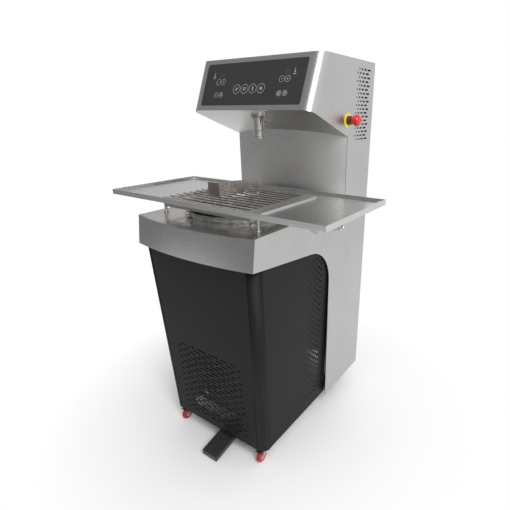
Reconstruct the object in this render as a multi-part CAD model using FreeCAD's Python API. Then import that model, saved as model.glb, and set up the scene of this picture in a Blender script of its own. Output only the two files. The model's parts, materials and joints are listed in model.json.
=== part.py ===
"""Chocolate tempering machine on casters, with a vibrating mould table.

Millimetres, +Z up, +X to the operator's right, the front faces -Y. The origin is
on the floor under the middle of the machine's overall depth and width. Depths
named ..._D are distances forward from the rear plane of the housing.
"""
import FreeCAD, Part
import math
import os

V = FreeCAD.Vector
OUT_DIR = "parts"

# ---------------------------------------------------------------- driving sizes
HEIGHT = 1450.0             # top of the head above the floor
BODY_W = 536.0              # over the two stainless side panels
SHEET = 2.0                 # stainless housing sheet
SEAM = 0.3                  # joint left between curved or folded sheet parts
RUN = 0.05                  # radial running clearance of pins and shafts
PEDAL_TIP_D = 820.0         # front edge of the foot pedal, the machine's full depth

# head
HEAD_TOP_D = 398.0
HEAD_LIP_D = 471.0
HEAD_LIP_DROP = 172.5       # the front lip below the top
HEAD_CORNER_R = 38.0
COLUMN_D = 207.0            # front of the column at its side edges
COLUMN_TOP_DROP = 263.0     # where the underside meets the column's side edges, below the top
COLUMN_BULGE = 67.0         # how far the column's front bows out in the middle

# deck and its bowed apron
DECK_Z = 931.0
DECK_SHEET = 2.0
APRON_TOP_D = 763.0
APRON_TOP_BOW = 38.0
APRON_LOW_D = 778.0
APRON_LOW_BOW = 27.0
APRON_LOW_Z = 829.0
APRON_LIP = 26.0            # flange folded back under the apron

# side panel's lower leg
LEG_D = 316.0
LEG_BOTTOM_Z = 76.0
CUTOUT_DROP = 0.108         # fall of the panel's lower edge towards the rear
CUTOUT_R = 150.0

# lower cabinet wrap
CABINET_SHEET = 1.5
CABINET_BOTTOM_Z = 73.0
CABINET_BOTTOM_W = 494.0
CABINET_TOP_W = 524.0
CABINET_BOTTOM_D = 733.0
CABINET_TOP_D = 764.0
CABINET_CORNER_R = 36.0
CABINET_OVERLAP = 18.0      # hidden behind the side panels' legs

# side vents of the head
VENT_ROWS = 19
VENT_TOP_DROP = 30.0
VENT_BOTTOM_DROP = 275.0
VENT_SLOT_H = 6.0
VENT_REAR_D = 40.0
VENT_SLOTS = ((0.0, 26.0), (37.0, 18.0), (66.0, 12.0), (90.0, 7.0))
VENT_STAGGER = 14.0

# base frame and casters
FRAME_BOTTOM_Z = 70.0
FRAME_TUBE_H = 25.0
FRAME_TUBE_W = 30.0
FRAME_TUBE_WALL = 2.0
FRAME_HALF_W = 236.0
FRAME_FRONT_D = 724.0
FRAME_CORNER_R = 20.0
CASTER_X = 211.0
CASTER_FRONT_D = 690.0
CASTER_REAR_D = 62.0
CASTER_TRAIL = 20.0
WHEEL_R = 25.0
WHEEL_W = 18.0
TYRE_THICK = 13.0
HUB_BOSS_R = 7.5
HUB_FLANGE = 0.5
AXLE_R = 4.0
FORK_GAP = 1.0
FORK_SHEET = 2.0
PLATE_SIDE = 54.0
PLATE_THICK = 2.5
KINGPIN_R = 5.0
RACE_R = 17.0
RACE_H = 6.0
BRAKE_ARM = 15.0
BRAKE_LIP = 5.0
BRAKE_HALF_W = 12.0
BRAKE_PIN_R = 2.0
BRAKE_PIN_AHEAD = 12.0
BRAKE_PIN_Z = 56.5

# tank
TANK_D = 515.0
TANK_R = 190.0
TANK_WALL = 2.0
TANK_BOTTOM_Z = 650.0
TANK_CORNER_R = 60.0
TANK_COLLAR_H = 20.0
TANK_CORNER_STEPS = 4
TANK_PORT_X = -100.0        # small socket on the collar, front left
TANK_PORT_AHEAD = 170.0
TANK_PORT_R = 6.0
TANK_PORT_BORE = 3.5
TANK_PORT_UP = 14.0
TANK_RIM_R = 4.0
TANK_FLANGE = 14.0
OUTLET_BACK = 110.0         # outlet hole behind the tank's middle
PIPE_R = 20.0
PIPE_WALL = 2.0
TRANSFER_Z = 590.0

# stirring drive
SHAFT_R = 9.0
PADDLE_CLEAR = 6.0
PADDLE_W = 24.0
PADDLE_THICK = 5.0
PADDLE_TOP_Z = 890.0
STIR_MOTOR_R = 52.0
STIR_MOTOR_H = 60.0
STIR_BODY_R = 38.0
STIR_BODY_H = 130.0

# auger
AUGER_D = 150.0
AUGER_TUBE_R = 32.0
AUGER_TUBE_WALL = 3.0
AUGER_CLEAR = 1.0
AUGER_SHAFT_R = 9.0
AUGER_PITCH = 52.0
FLIGHT_THICK = 3.0
AUGER_BOTTOM_Z = 545.0
AUGER_TOP_DROP = 128.0
DELIVERY_DROP = 156.0
AUGER_MOTOR_H = 116.0
AUGER_MOTOR_R = 45.0

# spout, its heights taken from the underside on its axis
SPOUT_D = 403.0
SPOUT_R = 15.6
SPOUT_WALL = 1.8
SPOUT_DROP = 73.0           # mouth below the underside
SPOUT_BEAD_R = 19.4
SPOUT_BEAD_UP = 26.0        # bead's middle above the mouth
SPOUT_BEAD_H = 6.5
SPOUT_MOUTH_R = 19.3
SPOUT_MOUTH_H = 8.0
SPOUT_BEVEL = 2.0
SOCKET_H = 12.0             # delivery pipe's socket over the spout's upper end
CLAMP_R = 19.5
CLAMP_H = 8.5
CLAMP_KNOB_R = 4.5
CLAMP_KNOB_X = -4.0
CLAMP_KNOB_AHEAD = 28.0
LEVER_X = 24.0
LEVER_PIN_R = 2.5
LEVER_HUB_R = 5.0
LEVER_HUB_H = 7.0
LEVER_ARM_R = 2.0
LEVER_TILT = 8.7            # degrees that the arm falls towards its knob
LEVER_OUTLINE = ((0.0, 2.0), (31.0, 2.0), (39.0, 6.0), (43.0, 6.0), (54.0, 2.4), (58.0, 1.0))

# control glass and stop button
GLASS_HALF_W = 222.0
GLASS_TOP = 17.0            # below the head's top edge, along the slope
GLASS_LENGTH = 152.0
GLASS_THICK = 4.0
GLASS_CORNER_R = 6.0
GLASS_GAP = 0.6
STOP_D = 214.5
STOP_DROP = 205.5           # below the top
STOP_PLATE_R = 27.0
STOP_PLATE_T = 2.0
STOP_COLLAR_R = 15.0
STOP_COLLAR_L = 13.0
STOP_STEM_R = 9.0
STOP_HEAD_R = 19.5
STOP_REACH = 50.0
STOP_TRAVEL = 4.0

# vibrating table
TABLE_HALF_W = 477.0
TABLE_BACK_D = 309.0
TABLE_FRONT_D = 720.0
TABLE_RIM_Z = 994.0
TABLE_SKIRT = 18.0
TABLE_LIP = 3.0
TABLE_LEDGE = 11.0
TABLE_LEDGE_DROP = 3.5
TABLE_FLOOR_DROP = 9.0
TABLE_SHEET = 1.5
WINDOW_LEFT = -212.0
WINDOW_RIGHT = 191.0
WINDOW_BACK_EDGE = 69.0     # window's back edge in front of the tray's
WINDOW_FRONT_EDGE = 16.0    # window's front edge behind the tray's
BAR_W = 50.0
BAR_SEAT = 0.5              # depth that the bar is let into the tray's floor
ROD_R = 4.5
ROD_COUNT = 11
GRILLE_RAIL = 8.0
GRILLE_CLEAR = 1.0
SUBFRAME_HALF_W = 196.0
SUBFRAME_FRONT_EDGE = 17.0
SUBFRAME_BACK_EDGE = 13.0
SUBFRAME_LOW_Z = 960.0
SUBFRAME_FLANGE = 16.0
EAR_THICK = 3.0
EAR_SIDE = 30.0
SPRING_X = 216.0
SPRING_FRONT_EDGE = 37.0
SPRING_BACK_EDGE = 36.0
SPRING_R = 7.0
SPRING_WIRE = 2.0
SPRING_TURNS = 5
POST_R = 4.0
POST_FOOT_R = 9.0
POST_FOOT_H = 3.0
TABLE_TRAVEL = 3.0
LOBE_R = 24.0
LOBE_X = 443.0
LOBE_LOW_Z = 968.0
NOTCH_R = 9.0
NOTCH_X = 463.0
NOTCH_TOP_Z = 981.0
VIBRATOR_R = 10.0
VIBRATOR_L = 66.0

# scraper laid on the grille
SCRAPER_THICK = 3.0
SCRAPER_H = 46.0
SCRAPER_PLAN = ((-99.0, 577.0), (-50.0, 573.0), (-40.0, 500.0), (6.0, 427.0))
SCRAPER_NOTCHES = ((0.0, 0.0), (0.08, 0.92), (0.42, 0.93))   # shares of each wing's length
SCRAPER_FOOT_H = 17.0

# table lock
LOCK_X = 462.0
LOCK_EDGE = 96.0            # behind the tray's front
LOCK_DROP = 13.5            # axis below the skirt
LOCK_ROD_R = 3.5
LOCK_BALL_R = 6.0
LOCK_BALL_REACH = 17.0
LOCK_BALL_FACETS = 10
LOCK_BAR = 38.0
LOCK_BAR_R = 3.0
LOCK_BLOCK = 14.0
LOCK_TILT = 60.0

# pedal
PEDAL_X = 37.0
PEDAL_W = 76.0
PEDAL_SHEET = 3.0
PEDAL_FLANK = 18.0
PEDAL_TIP_Z = 27.0
PEDAL_PIVOT_D = 640.0
PEDAL_REAR_Z = 65.0         # top of the tread above the pivot
PEDAL_PIN_R = 4.0

# refrigeration and power
COMPRESSOR_R = 70.0
COMPRESSOR_H = 150.0
COMPRESSOR_X = -110.0
COMPRESSOR_D = 470.0
CONDENSER_W = 280.0
CONDENSER_H = 250.0
CONDENSER_T = 40.0
CONDENSER_D = 600.0
FAN_R = 100.0
FAN_HUB_R = 30.0
FAN_DEPTH = 26.0
FAN_BLADES = 5
FAN_CLEAR = 5.0
FAN_WALL = 3.0
BOX_W = 300.0
BOX_H = 240.0
BOX_T = 90.0
BOX_Z = 290.0
INLET_X = -215.0
INLET_Z = 160.0
INLET_W = 50.0
INLET_H = 56.0
INLET_T = 8.0
DOOR_TOP_Z = 660.0
DOOR_GAP = 1.0
LOUVRE_ROWS = 12
LOUVRE_H = 5.0
LOUVRE_W = 150.0
LOUVRE_PITCH = 18.0
UPRIGHT = 25.0
UPRIGHT_X = 215.0
UPRIGHT_FRONT_D = 690.0
UPRIGHT_REAR_D = 240.0
AUGER_RAIL_Z = 700.0

# ---------------------------------------------------------------- derived places
STIR_RAIL_Z = TANK_BOTTOM_Z - STIR_MOTOR_H
BACK_Y = PEDAL_TIP_D / 2.0
HALF_W = BODY_W / 2.0
INNER_HALF = HALF_W - SHEET
HEAD_LIP_Z = HEIGHT - HEAD_LIP_DROP
COLUMN_TOP_Z = HEIGHT - COLUMN_TOP_DROP
VENT_TOP_Z = HEIGHT - VENT_TOP_DROP
VENT_BOTTOM_Z = HEIGHT - VENT_BOTTOM_DROP
STOP_Z = HEIGHT - STOP_DROP
AUGER_TOP_Z = HEIGHT - AUGER_TOP_DROP
DELIVERY_Z = HEIGHT - DELIVERY_DROP
AUGER_TURNS = int((DELIVERY_Z - AUGER_BOTTOM_Z) / AUGER_PITCH) - 2
UNDER_SLOPE = (HEAD_LIP_Z - COLUMN_TOP_Z) / (HEAD_LIP_D - COLUMN_D)
HEAD_TILT = (HEAD_LIP_D - HEAD_TOP_D) / (HEIGHT - HEAD_LIP_Z)
FRAME_TOP_Z = FRAME_BOTTOM_Z + FRAME_TUBE_H
TABLE_FLOOR_Z = TABLE_RIM_Z - TABLE_FLOOR_DROP
EAR_TOP_Z = TABLE_FLOOR_Z - TABLE_SHEET - 6.0
WINDOW_BACK_D = TABLE_BACK_D + WINDOW_BACK_EDGE
WINDOW_FRONT_D = TABLE_FRONT_D - WINDOW_FRONT_EDGE
SUBFRAME_FRONT_D = TABLE_FRONT_D - SUBFRAME_FRONT_EDGE
SUBFRAME_BACK_D = TABLE_BACK_D + SUBFRAME_BACK_EDGE
SPRING_FRONT_D = TABLE_FRONT_D - SPRING_FRONT_EDGE
SPRING_BACK_D = TABLE_BACK_D + SPRING_BACK_EDGE
LOCK_D = TABLE_FRONT_D - LOCK_EDGE
FAR = 3000.0                # larger than the machine, for trimming blocks
UP = V(0, 0, 1)
ALONG_X = V(1, 0, 0)
FORWARD = V(0, -1, 0)


# ---------------------------------------------------------------- helpers
def back(depth):
    """Y of a plane the given distance in front of the rear plane."""
    return BACK_Y - depth


def box(x0, x1, d0, d1, z0, z1):
    """Block between two X, two forward depths (d0 < d1) and two heights."""
    return Part.makeBox(x1 - x0, d1 - d0, z1 - z0, V(x0, back(d1), z0))


def post(x, depth, z0, z1, radius):
    """Upright cylinder."""
    return Part.makeCylinder(radius, z1 - z0, V(x, back(depth), z0), UP)


def pipe(x, depth, z0, z1, outer, inner):
    """Upright tube."""
    return post(x, depth, z0, z1, outer).cut(post(x, depth, z0, z1, inner))


def rod_x(x0, x1, depth, z, radius):
    """Cylinder along X."""
    return Part.makeCylinder(radius, x1 - x0, V(x0, back(depth), z), ALONG_X)


def rod_y(x, d0, d1, z, radius):
    """Cylinder running forward from depth d0 to d1."""
    return Part.makeCylinder(radius, d1 - d0, V(x, back(d0), z), FORWARD)


def profile_x(points, x0, x1):
    """Extrude a closed outline of (depth, height) points from x0 to x1."""
    corners = [V(x0, back(d), z) for d, z in points]
    face = Part.Face(Part.makePolygon(corners + corners[:1]))
    return face.extrude(V(x1 - x0, 0, 0))


def plan_plate(wire, z0, z1):
    """Plate from a flat closed wire drawn at height z0."""
    return Part.Face(wire).extrude(V(0, 0, z1 - z0))


def rounded_plan(half_w, d0, d1, radius, z):
    """Wire of a plan rectangle whose two front corners are rounded."""
    y0 = back(d0)
    y1 = back(d1)
    bevel = radius * (1.0 - math.sqrt(0.5))
    right = half_w
    left = -half_w
    points = (V(left, y0, z), V(left, y1 + radius, z), V(left + radius, y1, z),
              V(right - radius, y1, z), V(right, y1 + radius, z), V(right, y0, z))
    edges = [
        Part.Arc(points[1], V(left + bevel, y1 + bevel, z), points[2]).toShape(),
        Part.makeLine(points[2], points[3]),
        Part.Arc(points[3], V(right - bevel, y1 + bevel, z), points[4]).toShape(),
        Part.makeLine(points[5], points[0]),
    ]
    if d1 - radius > d0:
        edges += [Part.makeLine(points[0], points[1]), Part.makeLine(points[4], points[5])]
    return Part.Wire(Part.__sortEdges__(edges))


def bowed_plan(half_w, front_d, bow, rear_d, rear_bow, z):
    """Wire between two bowed lines across the machine, joined at the sides."""
    front = [V(-half_w, back(front_d), z), V(0, back(front_d + bow), z), V(half_w, back(front_d), z)]
    edges = [Part.Arc(*front).toShape()]
    rear = [V(half_w, back(rear_d), z), V(0, back(rear_d + rear_bow), z), V(-half_w, back(rear_d), z)]
    edges.append(Part.makeLine(front[2], rear[0]))
    if rear_bow:
        edges.append(Part.Arc(*rear).toShape())
    else:
        edges.append(Part.makeLine(rear[0], rear[2]))
    edges.append(Part.makeLine(rear[2], front[0]))
    return Part.Wire(edges)


def turned(points, x, depth):
    """Revolve a closed outline of (radius, height) points about an upright axis."""
    corners = [V(x + r, back(depth), z) for r, z in points]
    face = Part.Face(Part.makePolygon(corners + corners[:1]))
    return face.revolve(V(x, back(depth), 0), UP, 360)


def ball(centre, radius):
    """Faceted ball, turned about an upright axis through its centre."""
    turns = [math.pi * n / LOCK_BALL_FACETS - math.pi / 2 for n in range(LOCK_BALL_FACETS + 1)]
    points = [V(centre.x + radius * math.cos(a), centre.y, centre.z + radius * math.sin(a)) for a in turns]
    face = Part.Face(Part.makePolygon(points + points[:1]))
    return face.revolve(centre, UP, 360)


def joined(shapes):
    """One solid from touching or overlapping shapes."""
    whole = shapes[0]
    if len(shapes) > 1:
        whole = shapes[0].multiFuse(list(shapes[1:]))
    return whole.removeSplitter()


def save(name, shape):
    """Write one node."""
    shape.exportStep(os.path.join(OUT_DIR, name + ".step"))


def underside_z(depth):
    """Height of the head's sloping underside at a depth."""
    return COLUMN_TOP_Z + (depth - COLUMN_D) * UNDER_SLOPE


def head_front_d(z):
    """Depth of the head's sloping front face at a height."""
    return HEAD_TOP_D + (HEIGHT - z) * HEAD_TILT


def below_underside(lift):
    """Everything under the head's underside raised by lift, for trimming."""
    d1 = HEAD_LIP_D + HEIGHT
    points = [(-HEIGHT, underside_z(-HEIGHT) + lift), (d1, underside_z(d1) + lift), (d1, -FAR), (-HEIGHT, -FAR)]
    return profile_x(points, -FAR, FAR)


def column_block(inset, z0, z1):
    """Plan of the column from its bowed front back to the rear plane."""
    wire = bowed_plan(INNER_HALF, COLUMN_D - inset, COLUMN_BULGE, 0.0, 0.0, z0)
    return plan_plate(wire, z0, z1)


# ---------------------------------------------------------------- housing
def cutout_profile():
    """Closed (depth, height) face of the opening under the apron's side."""
    z_edge = APRON_LOW_Z
    slope_z = z_edge - CUTOUT_DROP * (APRON_LOW_D - LEG_D)
    turn = math.pi / 2.0 - math.atan(CUTOUT_DROP)
    tangent = CUTOUT_R * math.tan(turn / 2.0)
    run = tangent * math.cos(math.atan(CUTOUT_DROP))
    on_slope = (LEG_D + run, slope_z + CUTOUT_DROP * run)
    on_leg = (LEG_D, slope_z - tangent)
    centre = (LEG_D + CUTOUT_R, on_leg[1])
    middle_angle = math.pi - turn / 2.0
    middle = (centre[0] + CUTOUT_R * math.cos(middle_angle), centre[1] + CUTOUT_R * math.sin(middle_angle))
    x = -HALF_W - SHEET

    def at(point):
        return V(x, back(point[0]), point[1])

    far_d = APRON_LOW_D + CUTOUT_R
    corner = (far_d, z_edge + CUTOUT_DROP * (far_d - APRON_LOW_D))
    edges = [
        Part.makeLine(at(corner), at(on_slope)),
        Part.Arc(at(on_slope), at(middle), at(on_leg)).toShape(),
        Part.makeLine(at(on_leg), at((LEG_D, 0.0))),
        Part.makeLine(at((LEG_D, 0.0)), at((far_d, 0.0))),
        Part.makeLine(at((far_d, 0.0)), at(corner)),
    ]
    return Part.Face(Part.Wire(edges)).extrude(V(BODY_W + 2 * SHEET, 0, 0))


def vent_cutters(x0, x1):
    """Staggered rows of slots that shorten towards the front."""
    pitch = (VENT_TOP_Z - VENT_BOTTOM_Z) / (VENT_ROWS - 1)
    cutters = []
    for row in range(VENT_ROWS):
        z = VENT_TOP_Z - row * pitch
        shift = VENT_STAGGER * (row % 2)
        for offset, length in VENT_SLOTS:
            d0 = VENT_REAR_D + offset + shift
            cutters.append(box(x0, x1, d0, d0 + length, z - VENT_SLOT_H / 2, z + VENT_SLOT_H / 2))
    return Part.makeCompound(cutters)


def side_panel(side):
    """Flat C-shaped stainless side: head, column, apron side and rear leg."""
    x0, x1 = (INNER_HALF, HALF_W) if side > 0 else (-HALF_W, -INNER_HALF)
    apron_front = APRON_TOP_D - SHEET - SEAM
    apron_low = APRON_LOW_D - SHEET - SEAM
    head_z = (COLUMN_TOP_Z + UNDER_SLOPE * (HEAD_TOP_D - HEAD_CORNER_R + HEIGHT * HEAD_TILT - COLUMN_D))
    head_z = head_z / (1.0 + UNDER_SLOPE * HEAD_TILT)
    outline = [
        (0.0, LEG_BOTTOM_Z), (0.0, HEIGHT), (HEAD_TOP_D - HEAD_CORNER_R, HEIGHT),
        (head_front_d(head_z) - HEAD_CORNER_R, head_z), (COLUMN_D, COLUMN_TOP_Z), (COLUMN_D, DECK_Z),
        (apron_front, DECK_Z), (apron_low, APRON_LOW_Z), (apron_low, LEG_BOTTOM_Z),
    ]
    plate = profile_x(outline, x0, x1)
    plate = plate.cut(cutout_profile())
    return plate.cut(vent_cutters(x0 - SHEET, x1 + SHEET))


def head_front():
    """Sloping front of the head, wrapped round both corners, with the glass opening."""
    drop = HEIGHT - COLUMN_TOP_Z
    lean = V(0, -drop * HEAD_TILT, -drop)
    join_d = HEAD_TOP_D - HEAD_CORNER_R
    outer = Part.Face(rounded_plan(HALF_W, join_d, HEAD_TOP_D, HEAD_CORNER_R, HEIGHT)).extrude(lean)
    inner = Part.Face(rounded_plan(INNER_HALF, join_d - SHEET, HEAD_TOP_D - SHEET, HEAD_CORNER_R - SHEET,
                                   HEIGHT)).extrude(lean)
    shell = outer.cut(inner)
    shell = shell.cut(below_underside(0.0))
    return shell.cut(glass_block(GLASS_GAP, GLASS_THICK, 4 * GLASS_THICK))


def glass_block(grow, proud, thick):
    """Rounded plate along the head's sloping front, standing proud of it."""
    half = GLASS_HALF_W + grow
    length = GLASS_LENGTH + 2 * grow
    plate = Part.makeBox(2 * half, thick, length, V(-half, -thick, -length))
    upright = [e for e in plate.Edges if abs(e.BoundBox.YLength - thick) < SEAM]
    plate = plate.makeFillet(GLASS_CORNER_R + grow, upright)
    plate.rotate(V(0, 0, 0), ALONG_X, -math.degrees(math.atan(HEAD_TILT)))
    slope = math.hypot(1.0, HEAD_TILT)
    top_z = HEIGHT - (GLASS_TOP - grow) / slope
    plate.translate(V(0, back(head_front_d(top_z)), top_z))
    inward = (thick - proud) / slope
    plate.translate(V(0, inward, -inward * HEAD_TILT))
    return plate


def control_glass():
    """Black touch glass, flush with the head's front."""
    return glass_block(0.0, 0.0, GLASS_THICK)


def head_top():
    """Lid sheet of the head, set between the side panels."""
    plate = box(-INNER_HALF, INNER_HALF, SHEET, HEAD_TOP_D - HEAD_CORNER_R - SHEET, HEIGHT - SHEET, HEIGHT)
    nose_wire = rounded_plan(INNER_HALF, HEAD_TOP_D - HEAD_CORNER_R - SHEET, HEAD_TOP_D - SHEET - SEAM,
                             HEAD_CORNER_R - SHEET, HEIGHT - SHEET)
    nose = plan_plate(nose_wire, HEIGHT - SHEET, HEIGHT)
    return joined([plate, nose])


def head_underside():
    """Sloping sheet under the head, from the lip back to the bowed column."""
    back_d = COLUMN_D + SHEET
    lip_d = HEAD_LIP_D - SHEET
    rise = SHEET * math.hypot(1.0, UNDER_SLOPE)
    outline = [(back_d, underside_z(back_d)), (lip_d - SEAM, underside_z(lip_d - SEAM)),
               (lip_d - SEAM, underside_z(lip_d - SEAM) + rise), (back_d, underside_z(back_d) + rise)]
    plate = profile_x(outline, -INNER_HALF + SEAM, INNER_HALF - SEAM)
    front = Part.Face(rounded_plan(INNER_HALF - SEAM, 0.0, HEAD_TOP_D - SHEET - SEAM, HEAD_CORNER_R, HEIGHT))
    drop = HEIGHT - COLUMN_TOP_Z
    plate = plate.common(front.extrude(V(0, -drop * HEAD_TILT, -drop)))
    plate = plate.cut(column_block(-SEAM, DECK_Z, HEIGHT))
    return plate.cut(post(0, SPOUT_D, COLUMN_TOP_Z, HEIGHT, SPOUT_R + SEAM))


def column_front():
    """Bowed stainless front of the column, standing on the deck."""
    wire = bowed_plan(INNER_HALF, COLUMN_D, COLUMN_BULGE, COLUMN_D - SHEET, COLUMN_BULGE, DECK_Z)
    sheet = plan_plate(wire, DECK_Z, HEIGHT)
    rise = SHEET * math.hypot(1.0, UNDER_SLOPE)
    above = profile_x([(-HEIGHT, underside_z(-HEIGHT) + rise), (HEIGHT, underside_z(HEIGHT) + rise),
                       (HEIGHT, FAR), (-HEIGHT, FAR)], -FAR, FAR)
    return sheet.cut(above)


def front_apron():
    """Bowed stainless band over the cabinet, with a lip folded back below."""
    top = bowed_plan(HALF_W, APRON_TOP_D, APRON_TOP_BOW, APRON_TOP_D - SHEET, APRON_TOP_BOW, DECK_Z)
    low = bowed_plan(HALF_W, APRON_LOW_D, APRON_LOW_BOW, APRON_LOW_D - SHEET, APRON_LOW_BOW, APRON_LOW_Z)
    band = Part.makeLoft([top, low], True, True)
    lip_wire = bowed_plan(INNER_HALF - SEAM, APRON_LOW_D - SHEET / 2, APRON_LOW_BOW, APRON_LOW_D - APRON_LIP, 0.0,
                          APRON_LOW_Z)
    lip = plan_plate(lip_wire, APRON_LOW_Z, APRON_LOW_Z + SHEET)
    return joined([band, lip])


def deck_plate():
    """Deck between the side panels, with the tank hole."""
    z0 = DECK_Z - DECK_SHEET
    wire = bowed_plan(INNER_HALF, APRON_TOP_D - SHEET - SEAM, APRON_TOP_BOW, SHEET, 0.0, z0)
    plate = plan_plate(wire, z0, DECK_Z)
    plate = plate.cut(post(0, TANK_D, z0 - SHEET, DECK_Z + SHEET, TANK_R + TANK_WALL + SEAM))
    return plate.cut(post(0, AUGER_D, z0 - SHEET, DECK_Z + SHEET, AUGER_TUBE_R + SEAM))


def lower_cabinet():
    """Tapered black wrap round the machine's lower front."""
    rear_d = LEG_D - CABINET_OVERLAP
    top_z = APRON_LOW_Z - SEAM
    thick = CABINET_SHEET

    def plan(z, width, depth, inset, rear):
        return rounded_plan(width / 2 - inset, rear, depth - inset, CABINET_CORNER_R - inset, z)

    outer = Part.makeLoft([plan(CABINET_BOTTOM_Z, CABINET_BOTTOM_W, CABINET_BOTTOM_D, 0.0, rear_d),
                           plan(top_z, CABINET_TOP_W, CABINET_TOP_D, 0.0, rear_d)], True, True)
    inner = Part.makeLoft([plan(CABINET_BOTTOM_Z, CABINET_BOTTOM_W, CABINET_BOTTOM_D, thick, rear_d - thick),
                           plan(top_z, CABINET_TOP_W, CABINET_TOP_D, thick, rear_d - thick)], True, True)
    return outer.cut(inner)


def rear_panel():
    """Fixed upper back sheet with louvres high in the column."""
    panel = box(-INNER_HALF, INNER_HALF, 0.0, SHEET, DOOR_TOP_Z + DOOR_GAP, HEIGHT)
    return panel.cut(louvres((VENT_TOP_Z + VENT_BOTTOM_Z) / 2))


def rear_door():
    """Screwed service door over the lower back, with louvres and the inlet hole."""
    door = box(-INNER_HALF + DOOR_GAP, INNER_HALF - DOOR_GAP, 0.0, SHEET, LEG_BOTTOM_Z, DOOR_TOP_Z)
    door = door.cut(louvres(BOX_Z))
    hole = box(INLET_X - INLET_W / 2, INLET_X + INLET_W / 2, -SHEET, 2 * SHEET, INLET_Z - INLET_H / 2,
               INLET_Z + INLET_H / 2)
    return door.cut(hole)


def louvres(mid_z):
    """Cutters for a stack of wide slots through the back."""
    first = mid_z - LOUVRE_PITCH * (LOUVRE_ROWS - 1) / 2
    rows = [first + LOUVRE_PITCH * n for n in range(LOUVRE_ROWS)]
    return Part.makeCompound([box(-LOUVRE_W / 2, LOUVRE_W / 2, -SHEET, 2 * SHEET, z - LOUVRE_H / 2,
                                  z + LOUVRE_H / 2) for z in rows])


# ---------------------------------------------------------------- frame
def base_frame():
    """Welded channel ring under the cabinet, with cross members out to the legs."""
    z0, z1 = FRAME_BOTTOM_Z, FRAME_TOP_Z
    wall = FRAME_TUBE_WALL
    ring = plan_plate(rounded_plan(FRAME_HALF_W, SHEET, FRAME_FRONT_D, FRAME_CORNER_R, z0), z0, z1)
    hole = box(-FRAME_HALF_W + FRAME_TUBE_W, FRAME_HALF_W - FRAME_TUBE_W, SHEET + FRAME_TUBE_W,
               FRAME_FRONT_D - FRAME_TUBE_W, z0, z1)
    hollow = plan_plate(rounded_plan(FRAME_HALF_W - wall, SHEET + wall, FRAME_FRONT_D - wall, FRAME_CORNER_R - wall,
                                     z0 + wall), z0 + wall, z1 - wall)
    ring = ring.cut(hole).cut(hollow)
    parts = [ring]
    for d0 in (SHEET, LEG_D - CABINET_OVERLAP - FRAME_TUBE_W - SEAM):
        for side in (-1, 1):
            x0, x1 = sorted((side * FRAME_HALF_W, side * INNER_HALF))
            parts.append(box(x0, x1, d0, d0 + FRAME_TUBE_W, LEG_BOTTOM_Z, z1))
    for d0 in (COMPRESSOR_D - FRAME_TUBE_W / 2, PEDAL_PIVOT_D - FRAME_TUBE_W / 2):
        half = FRAME_HALF_W - FRAME_TUBE_W + wall
        parts.append(box(-half, half, d0, d0 + FRAME_TUBE_W, z1 - wall, z1))
    return joined(parts)


def uprights():
    """Four angle posts up to the deck, side rails for the stirrer and the auger's clamp plate."""
    wall = FRAME_TUBE_WALL
    top = DECK_Z - DECK_SHEET
    parts = [auger_clamp_plate()]
    for side in (-1, 1):
        x0, x1 = sorted((side * UPRIGHT_X, side * (UPRIGHT_X - UPRIGHT)))
        inside = (x0, x1 - wall) if side > 0 else (x0 + wall, x1)
        for depth in (UPRIGHT_FRONT_D, UPRIGHT_REAR_D):
            leg = box(x0, x1, depth - UPRIGHT, depth, FRAME_TOP_Z, top)
            parts.append(leg.cut(box(inside[0], inside[1], depth - UPRIGHT, depth - wall, FRAME_TOP_Z, top)))
        x0, x1 = sorted((side * UPRIGHT_X, side * (UPRIGHT_X - wall)))
        parts.append(box(x0, x1, UPRIGHT_REAR_D - UPRIGHT, UPRIGHT_FRONT_D, STIR_RAIL_Z - UPRIGHT, STIR_RAIL_Z))
    return joined(parts)


def auger_clamp_plate():
    """Rail across the rear posts with the plate that holds the auger tube."""
    z0 = AUGER_RAIL_Z - UPRIGHT
    reach = UPRIGHT_REAR_D - UPRIGHT
    rail = box(-UPRIGHT_X, UPRIGHT_X, reach, reach + FRAME_TUBE_WALL, z0, AUGER_RAIL_Z)
    half = AUGER_TUBE_R + UPRIGHT / 2
    plate = box(-half, half, AUGER_D - half, reach, AUGER_RAIL_Z - 2 * FRAME_TUBE_WALL, AUGER_RAIL_Z)
    plate = plate.cut(post(0, AUGER_D, z0, AUGER_RAIL_Z + SHEET, AUGER_TUBE_R + SEAM))
    return joined([rail, plate])


# ---------------------------------------------------------------- casters
def caster_depth(front):
    return CASTER_FRONT_D if front else CASTER_REAR_D


def caster_plates():
    """Four bolted top plates, each with its riveted kingpin."""
    plates = []
    for side in (-1, 1):
        for front in (False, True):
            x, d = side * CASTER_X, caster_depth(front)
            half = PLATE_SIDE / 2
            z = FRAME_BOTTOM_Z - PLATE_THICK
            plate = box(x - half, x + half, d - half, d + half, z, FRAME_BOTTOM_Z)
            low = z - SEAM - RACE_H
            pin = post(x, d, low - SEAM - FORK_SHEET, z, KINGPIN_R)
            head = post(x, d, low - SEAM - FORK_SHEET, low - SEAM, KINGPIN_R + FORK_SHEET)
            plates.append(joined([plate, pin, head]))
    return Part.makeCompound(plates)


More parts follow.
